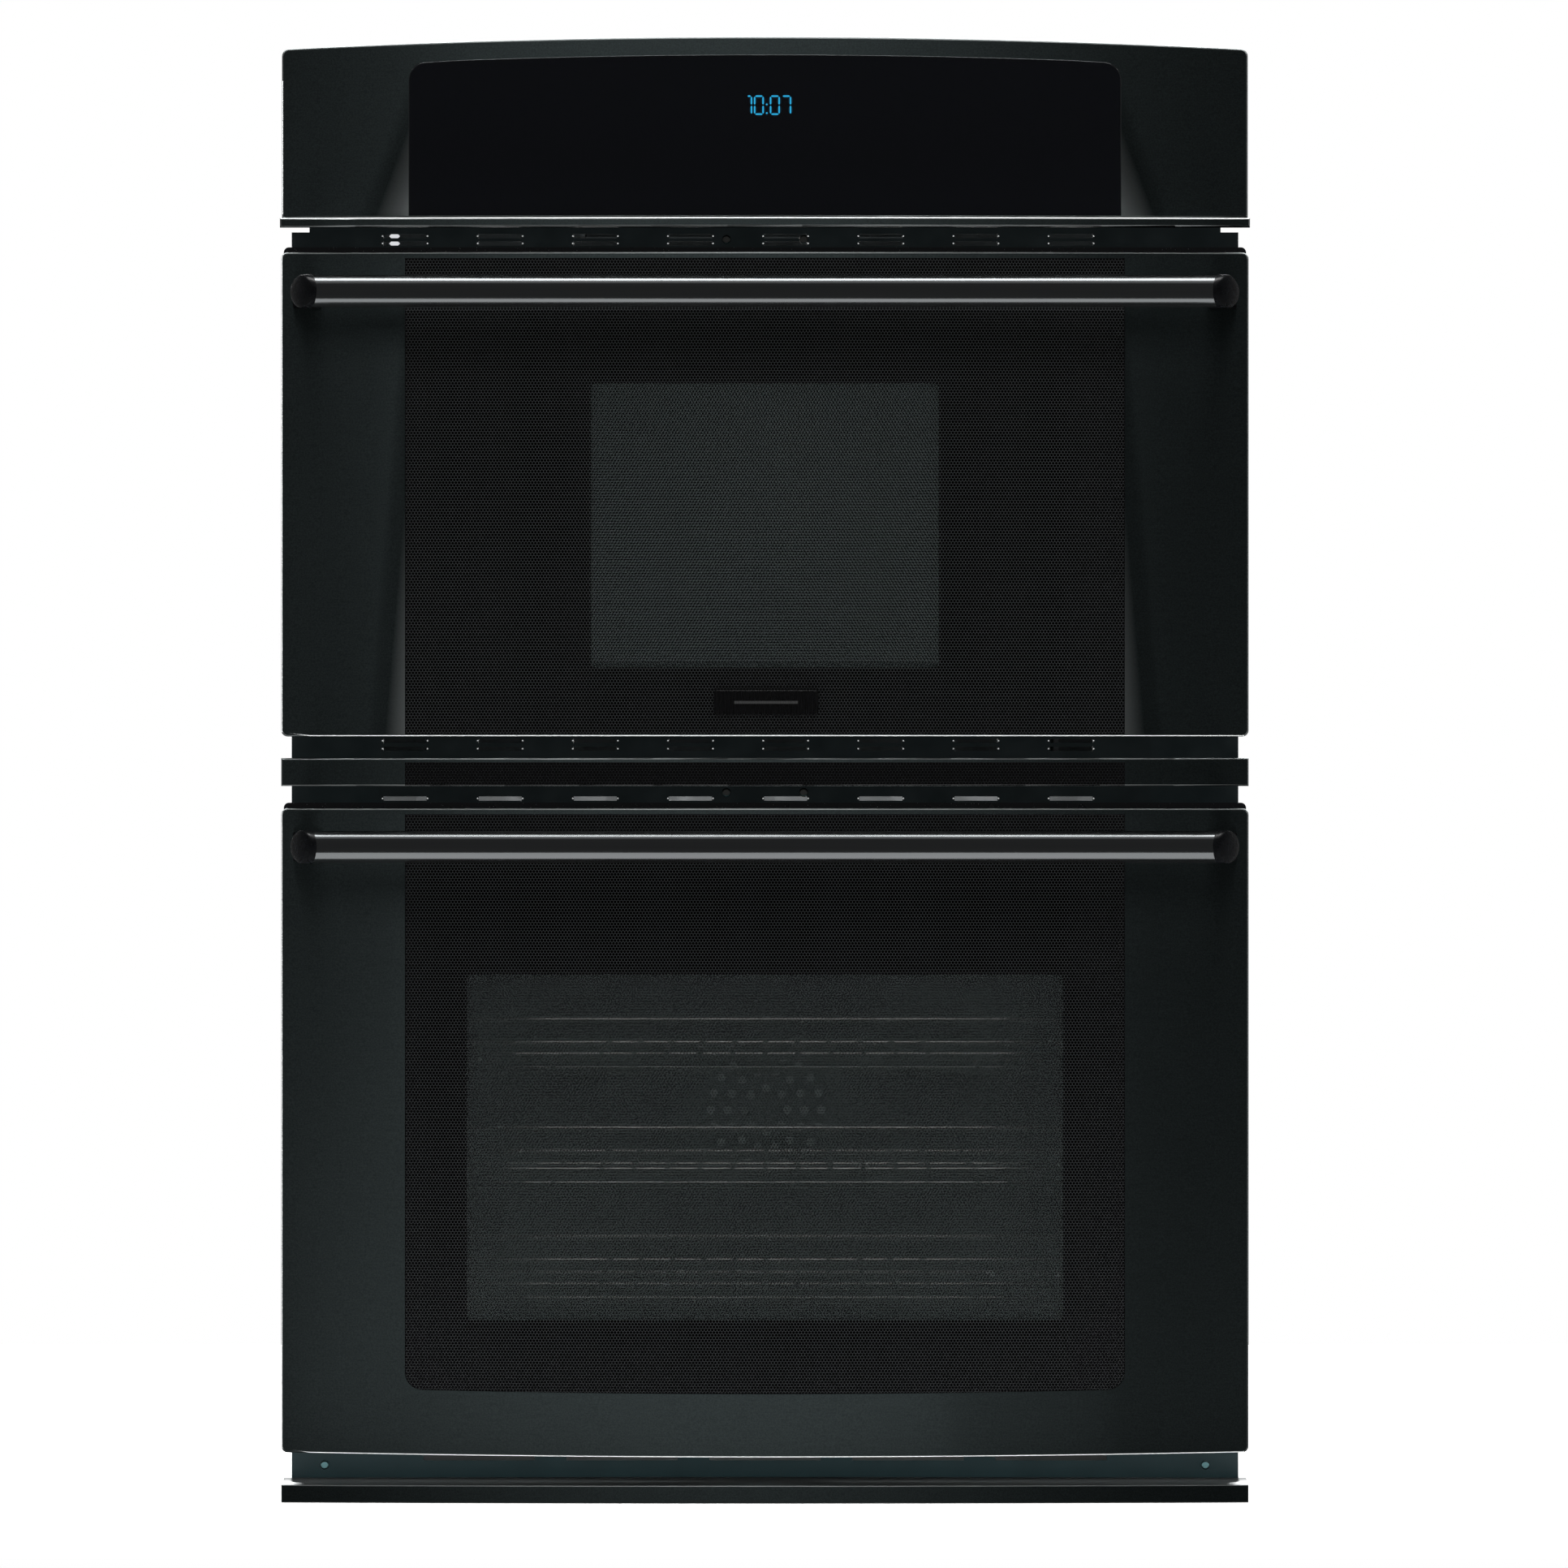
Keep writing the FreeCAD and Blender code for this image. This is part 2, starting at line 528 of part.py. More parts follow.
def convection():
    y0 = 468.0
    half = 130.0
    tray = box(-half, half, y0, OVEN_DEPTH, FAN_HEIGHT - half, FAN_HEIGHT + half)
    corners = [e for e in tray.Edges if abs(e.Vertexes[0].Point.y - e.Vertexes[-1].Point.y) > 1]
    tray = tray.makeFillet(30.0, corners)
    inner = box(-half + SHEET, half - SHEET, y0 + SHEET, OVEN_DEPTH + 1, FAN_HEIGHT - half + SHEET,
                FAN_HEIGHT + half - SHEET)
    corners = [e for e in inner.Edges if abs(e.Vertexes[0].Point.y - e.Vertexes[-1].Point.y) > 1]
    tray = tray.cut(inner.makeFillet(30.0 - SHEET, corners))
    holes = []
    for ring, count in ((18.0, 8), (32.0, 14), (46.0, 20)):
        for step in range(count):
            angle = 2 * math.pi * step / count
            x, z = ring * math.cos(angle), FAN_HEIGHT + ring * math.sin(angle)
            holes.append(rod(3.5, (x, y0 - 1, z), (x, y0 + 2, z)))
    for side in (-1, 1):
        for step in range(9):
            z = FAN_HEIGHT - 84.0 + 21.0 * step
            wall = side * (half - SHEET / 2)
            holes.append(box(wall - 3, wall + 3, y0 + 6, OVEN_DEPTH - 5, z - 4, z + 4))
    save("convection_baffle", tray.cut(Part.makeCompound(holes)))

    hub = rod(14.0, (0, 474, FAN_HEIGHT), (0, 486, FAN_HEIGHT))
    shaft = rod(4.0, (0, 486, FAN_HEIGHT), (0, 530, FAN_HEIGHT))
    disc = rod(72.0, (0, 484.5, FAN_HEIGHT), (0, 486, FAN_HEIGHT))
    blades = []
    for step in range(8):
        blade = box(12.0, 70.0, 475.0, 485.0, FAN_HEIGHT - 0.8, FAN_HEIGHT + 0.8)
        blade.rotate(V(40.0, 0, FAN_HEIGHT), V(0, 1, 0), 20.0)
        blade.rotate(V(0, 0, FAN_HEIGHT), V(0, 1, 0), 45.0 * step)
        blades.append(blade)
    save("convection_fan", fuse([hub, shaft, disc] + blades))

    can = rod(38.0, (0, OVEN_DEPTH + SHEET, FAN_HEIGHT), (0, 546, FAN_HEIGHT))
    foot = box(-40.0, 40.0, 534.0, 537.0, FAN_HEIGHT - 55, FAN_HEIGHT + 55)
    can = fuse([can, foot])
    save("convection_motor", can.cut(rod(4.0 + PIN_CLEAR, (0, 480, FAN_HEIGHT), (0, 532, FAN_HEIGHT))))


def oven_fittings():
    lamp = rod(23.5, (OVEN_HALF - 5, 400, 440), (OVEN_HALF + SHEET, 400, 440))
    lamp = lamp.makeFillet(3.0, [min(lamp.Edges, key=lambda e: e.CenterOfMass.x)])
    socket = rod(20.0, (OVEN_HALF + SHEET, 400, 440), (OVEN_HALF + 35, 400, 440))
    lamp = fuse([lamp, socket])
    save("oven_lamps", both_sides(lamp))

    probe = rod(2.8, (240, 420, 445), (240, 510, 445))
    plate = box(228.0, 252.0, OVEN_DEPTH - 1.5, OVEN_DEPTH, 437.0, 453.0)
    save("temperature_probe", fuse([probe, plate]))

    ring = box(-317.0, 317.0, GASKET_FRONT, FRAME_FRONT, 79.0, 505.0)
    ring = ring.cut(box(-308.0, 308.0, -10, 0, 88.0, 496.0))
    front_edges = [e for e in ring.Edges if abs(e.CenterOfMass.y - GASKET_FRONT) < 0.01]
    save("oven_gasket", ring.makeFillet(1.6, front_edges))


def latch_bracket():
    """Bracket behind the center rail with the pivot pin of the door latch."""
    x, y = LATCH_PIVOT
    shelf = box(x - 22, x + 24, FRAME_BACK, 46.0, 515.0, 517.0)
    foot = box(x - 22, x + 24, FRAME_BACK, 1.5, 500.0, 515.0)
    return fuse([shelf, foot, rod(3.0, (x, y, 517.0), (x, y, 527.0))])


def latch_hook():
    x, y = LATCH_PIVOT
    z0, z1 = 520.0, 524.0
    eye = rod(7.0, (x, y, z0), (x, y, z1))
    arm = box(x - 58, x, y - 4.5, y + 4.5, z0, z1)
    tooth = box(x - 58, x - 51, y - 10, y - 4.5, z0, z1)
    hook = fuse([eye, arm, tooth])
    save("door_latch_hook", hook.cut(rod(3.0 + PIN_CLEAR, (x, y, z0 - 5), (x, y, z1 + 5))))


# ---------------------------------------------------------------- microwave


def microwave():
    plates = cavity_plates(MICRO_HALF, MICRO_FLOOR, MICRO_CEILING, MICRO_DEPTH)
    plates[0] = plates[0].cut(rod(7.0, (0, TABLE_Y, 630), (0, TABLE_Y, 650)))
    port = box(MICRO_HALF - 1, MICRO_HALF + 3, 120.0, 220.0, 830.0, 870.0)
    plates[2] = plates[2].cut(port)
    rear = box(-MICRO_HALF - SHEET, MICRO_HALF + SHEET, MICRO_DEPTH, MICRO_DEPTH + SHEET,
               MICRO_FLOOR - SHEET, MICRO_CEILING + SHEET)
    save("microwave_cavity_walls", *plates, rear)

    guide = box(MICRO_HALF + SHEET, 262.0, 110.0, 230.0, 820.0, 880.0)
    fins = [box(264.0 + 8.0 * i, 266.0 + 8.0 * i, 120.0, 220.0, 815.0, 885.0) for i in range(8)]
    core = rod(24.0, (262.0, 170.0, 850.0), (326.0, 170.0, 850.0))
    save("magnetron", fuse([guide, core] + fins))

    core = box(240.0, 330.0, 300.0, 380.0, MICRO_FLOOR + 2, MICRO_FLOOR + 72)
    coil = box(255.0, 315.0, 280.0, 400.0, MICRO_FLOOR + 18, MICRO_FLOOR + 58)
    foot = box(236.0, 334.0, 296.0, 384.0, 571.2, MICRO_FLOOR + 2)
    foot = foot.cut(box(240.0, 330.0, 290.0, 390.0, 573.0, MICRO_FLOOR))
    save("hv_transformer", fuse([core, coil, foot]))

    motor = rod(27.0, (0, TABLE_Y, 616), (0, TABLE_Y, MICRO_FLOOR - SHEET))
    ear = box(-38.0, 38.0, TABLE_Y - 6, TABLE_Y + 6, 636.8, MICRO_FLOOR - SHEET)
    motor = fuse([motor, ear])
    save("turntable_motor", motor.cut(rod(3.0 + PIN_CLEAR, (0, TABLE_Y, 622), (0, TABLE_Y, 645))))

    hub = rod(12.0, (0, TABLE_Y, 642), (0, TABLE_Y, 652))
    lobes = []
    for step in range(3):
        lobe = box(0, 22.0, TABLE_Y - 4, TABLE_Y + 4, 642.0, 652.0)
        lobe.rotate(V(0, TABLE_Y, 0), V(0, 0, 1), 120.0 * step)
        lobes.append(lobe)
    shaft = rod(3.0, (0, TABLE_Y, 624), (0, TABLE_Y, 642))
    save("turntable_coupler", fuse([hub, shaft] + lobes))

    rows = [(0, 652), (150, 652), (166, 659), (166, 662), (163, 662), (148, 656), (0, 656)]
    points = [V(r, TABLE_Y, z) for r, z in rows]
    tray = Part.Face(Part.makePolygon(points + points[:1])).revolve(V(0, TABLE_Y, 0), V(0, 0, 1), 360)
    save("turntable_tray", tray)

    ring = Part.makeTorus(88.0, 3.0, V(0, TABLE_Y, 646), V(0, 0, 1))
    pieces = [ring]
    for step in range(3):
        angle = math.radians(30 + 120 * step)
        near = (86 * math.cos(angle), TABLE_Y + 86 * math.sin(angle), 646)
        far = (104 * math.cos(angle), TABLE_Y + 104 * math.sin(angle), 646)
        wheel = (96 * math.cos(angle), TABLE_Y + 96 * math.sin(angle), 646)
        pieces.append(rod(2.0, near, far))
        pieces.append(rod(5.7, wheel, far))
    save("roller_ring", fuse(pieces))


def cooling_blower():
    axis_y, axis_z = 430.0, 1060.0
    half = 150.0
    body = box(-half - 4, half + 4, axis_y - 42, axis_y + 42, axis_z - 42, axis_z + 42)
    hollow = box(-half, half, axis_y - 40, axis_y + 40, axis_z - 40, axis_z + 40)
    mouth = box(-half, half, axis_y - 60, axis_y, axis_z - 50, axis_z - 12)
    intake = box(-half, half, axis_y - 25, axis_y + 25, axis_z + 20, axis_z + 60)
    bore = rod(4.0 + PIN_CLEAR, (-half - 10, axis_y, axis_z), (half + 10, axis_y, axis_z))
    hanger = box(-half - 4, half + 4, axis_y + 38, axis_y + 42, axis_z + 42, CHASSIS_TOP - SHEET)
    body = fuse([body, hanger])
    housing = body.cut(Part.makeCompound([hollow, mouth, intake, bore]))
    motor = rod(30.0, (half + 4, axis_y, axis_z), (half + 44, axis_y, axis_z))
    motor = motor.cut(rod(4.0 + PIN_CLEAR, (half, axis_y, axis_z), (half + 30, axis_y, axis_z)))
    save("blower_housing", housing, motor)

    wheel = [rod(4.0, (-half - 3, axis_y, axis_z), (half + 26, axis_y, axis_z))]
    for x in (-half + 8, -1.0, half - 10):
        wheel.append(rod(34.0, (x, axis_y, axis_z), (x + 2, axis_y, axis_z)))
    for step in range(18):
        angle = 2 * math.pi * step / 18
        y, z = axis_y + 31 * math.cos(angle), axis_z + 31 * math.sin(angle)
        wheel.append(rod(1.6, (-half + 8, y, z), (half - 8, y, z)))
    save("blower_wheel", fuse(wheel))


# ---------------------------------------------------------------- doors


def hinge_notch(door):
    notch = box(HINGE_X - 13, HINGE_X + 13, PIVOT_Y - 9.5, 0, door["low"] - 10, door["pivot"] + 12)
    return both_sides(notch)


def door_skin(door):
    outer = face_prism(
        FACE_HALF, door["low"], door["high"], FAR_FRONT, LINER_FRONT,
        low_rise=-door["sag"], low_radius=5.0, high_radius=5.0,
    )
    z0, z1 = door["low"] - 20, door["high"] + 20
    outer = outer.common(bowed_block(FACE_HALF + 5, BOW_FRONT, LINER_FRONT + 5, z0, z1))
    outer = soften_front(outer, 1.5)
    inner = face_prism(
        FACE_HALF - SKIN, door["low"] + SKIN, door["high"] - SKIN, FAR_FRONT, LINER_FRONT + 5,
        low_rise=-door["sag"], low_radius=5.0 - SKIN, high_radius=5.0 - SKIN,
    )
    inner = inner.common(bowed_block(FACE_HALF + 5, BOW_FRONT + SKIN, LINER_FRONT + 5, z0, z1))
    window = door_glass_outline(door, 0.0)
    return outer.cut(inner).cut(window).cut(hinge_notch(door))


def door_glass_outline(door, gap):
    return face_prism(
        GLASS_HALF - gap, door["glass_low"] + gap, door["glass_high"] - gap, FAR_FRONT, -48.0,
        low_rise=-door["glass_sag"], low_radius=door["glass_radius"],
    )


def door_glass(door):
    sheet = bowed_sheet(FACE_HALF, BOW_FRONT + 0.1, GLASS_THICK, door["low"] - 20, door["high"] + 20)
    return door_glass_outline(door, GAP).common(sheet)


def door_liner(door):
    low, high = door["low"] + 0.6, door["liner_high"]
    outer = face_prism(LINER_HALF, low, high, LINER_FRONT, DOOR_INNER, low_radius=4.0, high_radius=4.0)
    inner = box(-LINER_HALF + SHEET, LINER_HALF - SHEET, LINER_FRONT + SHEET, DOOR_INNER - SHEET,
                low + SHEET, high - SHEET)
    front = box(-LINER_HALF + 14, LINER_HALF - 14, -50, -30, low + 14, high - 16)
    half = door["window_half"]
    window = face_prism(
        half, door["window_low"], door["window_high"], -10.0, 0.0, low_radius=10.0, high_radius=10.0
    )
    return outer.cut(inner).cut(front).cut(window).cut(hinge_notch(door))


def plates_around_latch_slot(liner):
    """The liner as plates that meet at the edges of its latch slot."""
    left, right, low, high = LATCH_SLOT
    end = LINER_HALF + 10
    cells = [
        box(-end, left, LINER_FRONT - 10, 0, 0, PANEL_LOW),
        box(right, end, LINER_FRONT - 10, 0, 0, PANEL_LOW),
        box(left, right, LINER_FRONT - 10, 0, 0, low),
        box(left, right, LINER_FRONT - 10, 0, high, PANEL_LOW),
    ]
    plates = []
    for cell in cells:
        plates += liner.common(cell).Solids
    return Part.makeCompound(plates)


def hinge_receiver(door):
    """Fixed cheek pair on the frame stile, with the pin that the door arm turns on."""
    z = door["pivot"]
    base = box(HINGE_X - 11.5, HINGE_X + 11.5, -5.0, FRAME_FRONT, z - 11, z + 11)
    pieces = [base]
    for x0 in (HINGE_X - 10, HINGE_X + 4.5):
        pieces.append(box(x0, x0 + 5.5, PIVOT_Y, -5.0, z - 7, z + 7))
        pieces.append(rod(7.0, (x0, PIVOT_Y, z), (x0 + 5.5, PIVOT_Y, z)))
    pieces.append(rod(PIN_R, (HINGE_X - 10, PIVOT_Y, z), (HINGE_X + 10, PIVOT_Y, z)))
    return fuse(pieces)


def hinge_arm(door):
    z = door["pivot"]
    thick = 2.5
    eye = rod(7.0, (HINGE_X - thick, PIVOT_Y, z), (HINGE_X + thick, PIVOT_Y, z))
    neck = box(HINGE_X - thick, HINGE_X + thick, PIVOT_Y + 1.4, -30.0, z, z + 20)
    web = box(HINGE_X - thick, HINGE_X + thick, PIVOT_Y + 1.4, DOOR_INNER - SHEET, z + 16, z + 86)
    foot = box(HINGE_X - 12, HINGE_X + 12, DOOR_INNER - SHEET - 2.5, DOOR_INNER - SHEET, z + 18, z + 86)
    arm = fuse([eye, neck, web, foot])
    return arm.cut(rod(PIN_R + PIN_CLEAR, (HINGE_X - 5, PIVOT_Y, z), (HINGE_X + 5, PIVOT_Y, z)))


def ellipse_wire(centre, across, up, half_across, half_up):
    """An ellipse with its wide axis along across and its other axis along up."""
    if half_across >= half_up:
        curve = Part.Ellipse(centre + across * half_across, centre + up * half_up, centre)
    else:
        curve = Part.Ellipse(centre + up * half_up, centre - across * half_across, centre)
    return Part.Wire([curve.toShape()])


def socket_plane():
    """Point and directions of the right-hand socket's rim."""
    tilt = math.radians(HANDLE_END_TILT)
    across = V(-math.sin(tilt), -math.cos(tilt), 0)
    outward = V(math.cos(tilt), -math.sin(tilt), 0)
    return across, outward


def handle_tube(door):
    z = door["handle"]
    tube = rod(HANDLE_R, (-400, HANDLE_Y, z), (400, HANDLE_Y, z))
    tube = tube.cut(rod(HANDLE_BORE_R, (-401, HANDLE_Y, z), (401, HANDLE_Y, z)))
    across, outward = socket_plane()
    start = V(HANDLE_END_X, HANDLE_Y, z) - V(0, 0, 60)
    corners = [start - across * 60, start + across * 60]
    corners += [corners[1] + outward * 80, corners[0] + outward * 80]
    waste = Part.Face(Part.makePolygon(corners + corners[:1])).extrude(V(0, 0, 120))
    return tube.cut(waste).cut(mirrored(waste))


def handle_bracket(door):
    """Right-hand bracket: square foot on the door, curved arm, oval socket for the tube."""
    z = door["handle"]
    across, outward = socket_plane()
    up = V(0, 0, 1)
    rim = V(HANDLE_END_X, HANDLE_Y, z)
    lean = 1.0 / math.cos(math.radians(HANDLE_END_TILT))
    radius = HANDLE_R + 0.7
    sections = [
        ellipse_wire(V(FOOT_X + 3, -50.0, z), V(-1, 0, 0), up, 6.5, 9.0),
        ellipse_wire(V(FOOT_X + 4, -70.0, z), V(-1, 0, 0), up, 5.8, 10.0),
        ellipse_wire(V(FOOT_X + 3.6, -86.0, z), V(-0.96, -0.28, 0), up, 8.5, 12.0),
        ellipse_wire(rim + outward * 5.0, across, up, radius * lean * 0.86, radius * 0.97),
        ellipse_wire(rim, across, up, radius * lean, radius),
    ]
    arm = Part.makeLoft(sections, True, False)
    half = FOOT_SIZE / 2
    foot = face_prism(half, z - half, z + half, -54.6, -44.0, low_radius=1.5, high_radius=1.5)
    pocket = face_prism(
        half - 1.3, z - half + 1.3, z + half - 1.3, -60.0, -53.2, low_radius=1.0, high_radius=1.0
    )
    foot = foot.cut(pocket)
    foot.translate(V(FOOT_X, 0, 0))
    bracket = fuse([foot, arm])
    return bracket.cut(bowed_block(FACE_HALF + 20, BOW_FRONT, -20.0, z - 40, z + 40))


def doors():
    for name, door in (("lower", LOWER), ("upper", UPPER)):
        save(name + "_door_skin", door_skin(door))
        save(name + "_door_glass", door_glass(door))
        liner = door_liner(door)
        if door is LOWER:
            liner = plates_around_latch_slot(liner)
        save(name + "_door_liner", liner)
        save(name + "_door_handle", handle_tube(door))
        save(name + "_handle_brackets", both_sides(handle_bracket(door)))
        save(name + "_hinge_arms", both_sides(hinge_arm(door)))
    save("hinge_receivers", both_sides(hinge_receiver(LOWER)), both_sides(hinge_receiver(UPPER)))

    inner = DOOR_INNER - SHEET
    half, low, high = LOWER["window_half"] + 12, LOWER["window_low"] - 12, LOWER["window_high"] + 12
    near = box(-half, half, inner - 4.0, inner, low, high)
    middle = box(-half, half, -30.0, -27.0, low, high)
    save("lower_door_inner_glass", near, middle)

    half, low, high = UPPER["window_half"] + 14, UPPER["window_low"] - 10, UPPER["window_high"] + 10
    screen = box(-half, half, inner - 1.0, inner, low, high)
    save("upper_door_screen", screen)

    plate = face_prism(41.0, 619.0, 638.0, -64.2, -62.0, low_radius=2.0, high_radius=2.0)
    plate = soften_front(plate, 0.8)
    plate.translate(V(1, 0, 0))
    bar = box(-24.0, 26.0, -64.7, -64.2, 627.4, 629.6)
    save("badge", plate, bar)


# ---------------------------------------------------------------- build


def main():
    os.makedirs("parts", exist_ok=True)
    chassis()
    conduit_box()
    frame()
    frame_screws()
    base_trim()
    center_trim()
    control_panel()
    control_board()
    oven_cavity()
    oven_insulation()
    rack_guides()
    for name, level in RACK_LEVELS.items():
        save(name, rack(level))
    elements()
    convection()
    oven_fittings()
    latch_hook()
    microwave()
    cooling_blower()
    doors()


main()
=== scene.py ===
"""Finishes, small trim pieces, light and camera for the wall oven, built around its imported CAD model."""

import math

import bmesh
import bpy
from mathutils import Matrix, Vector

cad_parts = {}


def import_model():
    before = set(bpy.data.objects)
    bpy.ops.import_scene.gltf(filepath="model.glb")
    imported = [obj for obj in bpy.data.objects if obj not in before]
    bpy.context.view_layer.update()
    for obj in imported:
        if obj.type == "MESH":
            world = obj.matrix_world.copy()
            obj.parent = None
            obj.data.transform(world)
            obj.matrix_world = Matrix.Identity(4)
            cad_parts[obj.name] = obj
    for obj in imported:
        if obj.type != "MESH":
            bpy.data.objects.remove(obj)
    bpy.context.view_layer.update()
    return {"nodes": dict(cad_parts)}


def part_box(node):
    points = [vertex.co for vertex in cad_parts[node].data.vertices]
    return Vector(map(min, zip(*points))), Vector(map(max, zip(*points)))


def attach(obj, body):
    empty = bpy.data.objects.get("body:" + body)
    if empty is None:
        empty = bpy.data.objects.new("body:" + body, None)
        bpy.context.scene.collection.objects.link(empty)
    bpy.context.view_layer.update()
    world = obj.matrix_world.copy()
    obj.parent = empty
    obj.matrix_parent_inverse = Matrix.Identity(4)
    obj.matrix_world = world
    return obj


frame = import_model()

# Face of the oven, in metres
BOW_FRONT = -0.062
BOW_RADIUS = 6.02267
FRIT_HALF = 0.2826
DOT_PITCH = 0.0025
DOT_ROW = DOT_PITCH * math.sqrt(3)

# Printed dots: radii in parts of the lattice pitch, and the soft edge
DENSE_DOT = 0.44
SPARSE_DOT = 0.23
SCREEN_HOLE = 0.36
DOT_SOFT = 0.03

# Windows: half width, low, high, corner radius; then how bright the print is
UPPER_WINDOW = (0.1365, 0.656, 0.879, 0.004)
LOWER_WINDOW = (0.234, 0.144, 0.415, 0.004)
SCREEN_FIELD = (0.165, 0.640, 0.892, 0.006)
UPPER_TONE = 0.9
LOWER_TONE = 0.55
CENTER_PRINT = (FRIT_HALF, 0.5632, 0.5815)
BADGE_BAR_DEPTH = 0.0004

# Clock
SEGMENTS = {"0": "abcdef", "7": "abc", "1": "bc"}
CLOCK = (("0", -0.0086, -0.0008), ("0", 0.0039, 0.0118), ("7", 0.0130, 0.0207))
CLOCK_ONE = (-0.0160, -0.0099)
ONE_FLAG = (-0.0136, -0.0109)
COLON_ENDS = (0.0006, 0.0024)
COLON_ROWS = (1.0907, 1.0975)
CLOCK_LOW = 1.0893
CLOCK_HIGH = 1.1046
STROKE = 0.0012
DIGIT_GAP = 0.0004
CLOCK_LIFT = 0.00035
HALO_SPREAD = 0.0022
HALO_BEHIND = 0.0002
STROKE_DEPTH = 0.00012

# Bead around the control glass
BEAD_RADIUS = 0.0004
BEAD_GAP = 0.0003
BEAD_SINK = 0.0001
BEAD_CORNER = 0.014
ARCH_DROP = 0.0052
ARCH_STEPS = 24

# Pressed slots of the front frame
SLOT_FIRST = -0.2845
SLOT_PITCH = 0.0752
SLOT_LENGTH = 0.034
SLOT_COUNT = 8
TOP_SLOT_ROWS = (0.9916, 0.9974)
CENTER_SLOT_ROWS = (0.5530, 0.5923, 0.5986)
# Size of the painted glints at the slot ends
SLOT_GLINT_SIZE = 0.0008
DOME_RISE = 0.7
# Where the painted daylight glows in the first slots
REVEAL_LEFT = -0.2970
REVEAL_RIGHT = -0.2885
REVEAL_HEIGHT = 0.0030
REVEAL_INSET = 0.0006
REVEAL_DEPTH = 0.0004

# Painted highlights: thin bright beads along the edges of the doors and the panel
HEM_RADIUS = 0.0004
HEM_INSET = 0.0006
HEM_CORNER = 0.003
HEM_SET_BACK = 0.0004
HEM_STEPS = 40
LIP_HEM_RADIUS = HEM_RADIUS * 1.4
PANEL_HEM_RADIUS = HEM_RADIUS * 0.8
PANEL_HEM_HEIGHT = 0.108
LOWER_DOOR_SAG = 0.0034

# Camera, about 8 m in front of the oven as in the photo
CAMERA_X = 0.015
CAMERA_Y = -8.056
CAMERA_Z = 0.5645
CAMERA_LENS = 234.0
CAMERA_SENSOR = 36.0
CAMERA_CLIP = 100.0

# Finishes
COAT_IOR = 1.5
SATIN = (0.043, 0.054, 0.055)
# Painted highlight colour for the rounded edges of the skins
EDGE_HIGHLIGHT_STEEL = (0.42, 0.45, 0.45)
PRINT_BLACK = (0.0015, 0.0015, 0.002)
WINDOW_GREY = (0.100, 0.120, 0.120)
PRINT_GREY = (0.062, 0.066, 0.068)

# Studio
FLOOR_HALF = 2.2
FLOOR_FRONT = -0.62
FLOOR_BACK = 2.2
WORLD_DIM = 0.06
WORLD_SEEN = 1.0

# name, place, aimed at, width, height, watts
LIGHTS = (
    ("overhead_strip", (0.0, -0.05, 3.0), (0.0, -0.05, 0.0), 2.4, 0.50, 26.0),
    ("overhead_front", (0.0, -0.42, 3.0), (0.0, -0.42, 0.0), 2.4, 0.50, 3.4),
    ("overhead_fade", (0.0, -1.0, 3.0), (0.0, -1.0, 0.0), 2.4, 0.60, 1.2),
    ("back_fill", (0.0, 4.0, 2.2), (0.0, 0.5, 0.6), 3.0, 1.6, 60.0),
    ("top_gap_glow", (0.0, 0.20, 1.02), (0.0, 0.0, 0.99), 0.60, 0.08, 0.6),
    ("center_gap_glow", (0.0, 0.15, 0.60), (0.0, 0.0, 0.59), 0.60, 0.02, 0.3),
    ("lower_center_glow", (0.0, 0.05, 0.556), (0.0, 0.4, 0.550), 0.60, 0.01, 0.3),
    ("bottom_gap_glow", (0.0, 0.12, 0.050), (0.0, 0.3, 0.020), 0.60, 0.02, 0.5),
    ("oven_glow", (0.0, 0.16, 0.47), (0.0, 0.2, 0.1), 0.40, 0.20, 0.6),
    ("microwave_glow", (0.0, 0.16, 0.89), (0.0, 0.2, 0.65), 0.30, 0.20, 0.2),
)

SKINS = ("base_trim", "center_trim", "control_fascia", "control_lip", "upper_door_skin", "lower_door_skin")
GLASSES = ("upper_door_glass", "lower_door_glass", "control_glass")
RAILS = ("frame_stile_left", "frame_stile_right", "frame_bottom_rail", "frame_center_rail", "frame_top_rail")
HANDLES = ("upper_door_handle", "lower_door_handle")
SLOT_GLINTS = ("top_slot_glints", "center_slot_glints")
HEM_GLINTS = ("lower_door_hem_glint", "upper_door_hem_glint", "control_lip_hem_glint", "control_fascia_hem_glint")
BOTTOM_GAP = ("frame_bottom_rail", "frame_stile_left", "frame_stile_right", "frame_screws")
FRONT = SKINS + GLASSES + RAILS + HANDLES + HEM_GLINTS
# These cards are blocked by the floor only
SHADOWLESS = (
    "gap_card", "bottom_gap_card", "trim_back_card", "floor_wash", "handle_floor_card", "slot_glint_card",
    "hem_glint_card", "skin_pool_middle", "skin_pool_wide", "skin_floor_card",
)
WHITE = (1.0, 1.0, 1.0)
TEAL = (0.45, 1.0, 1.1)
PALE_TEAL = (0.8, 1.0, 1.05)

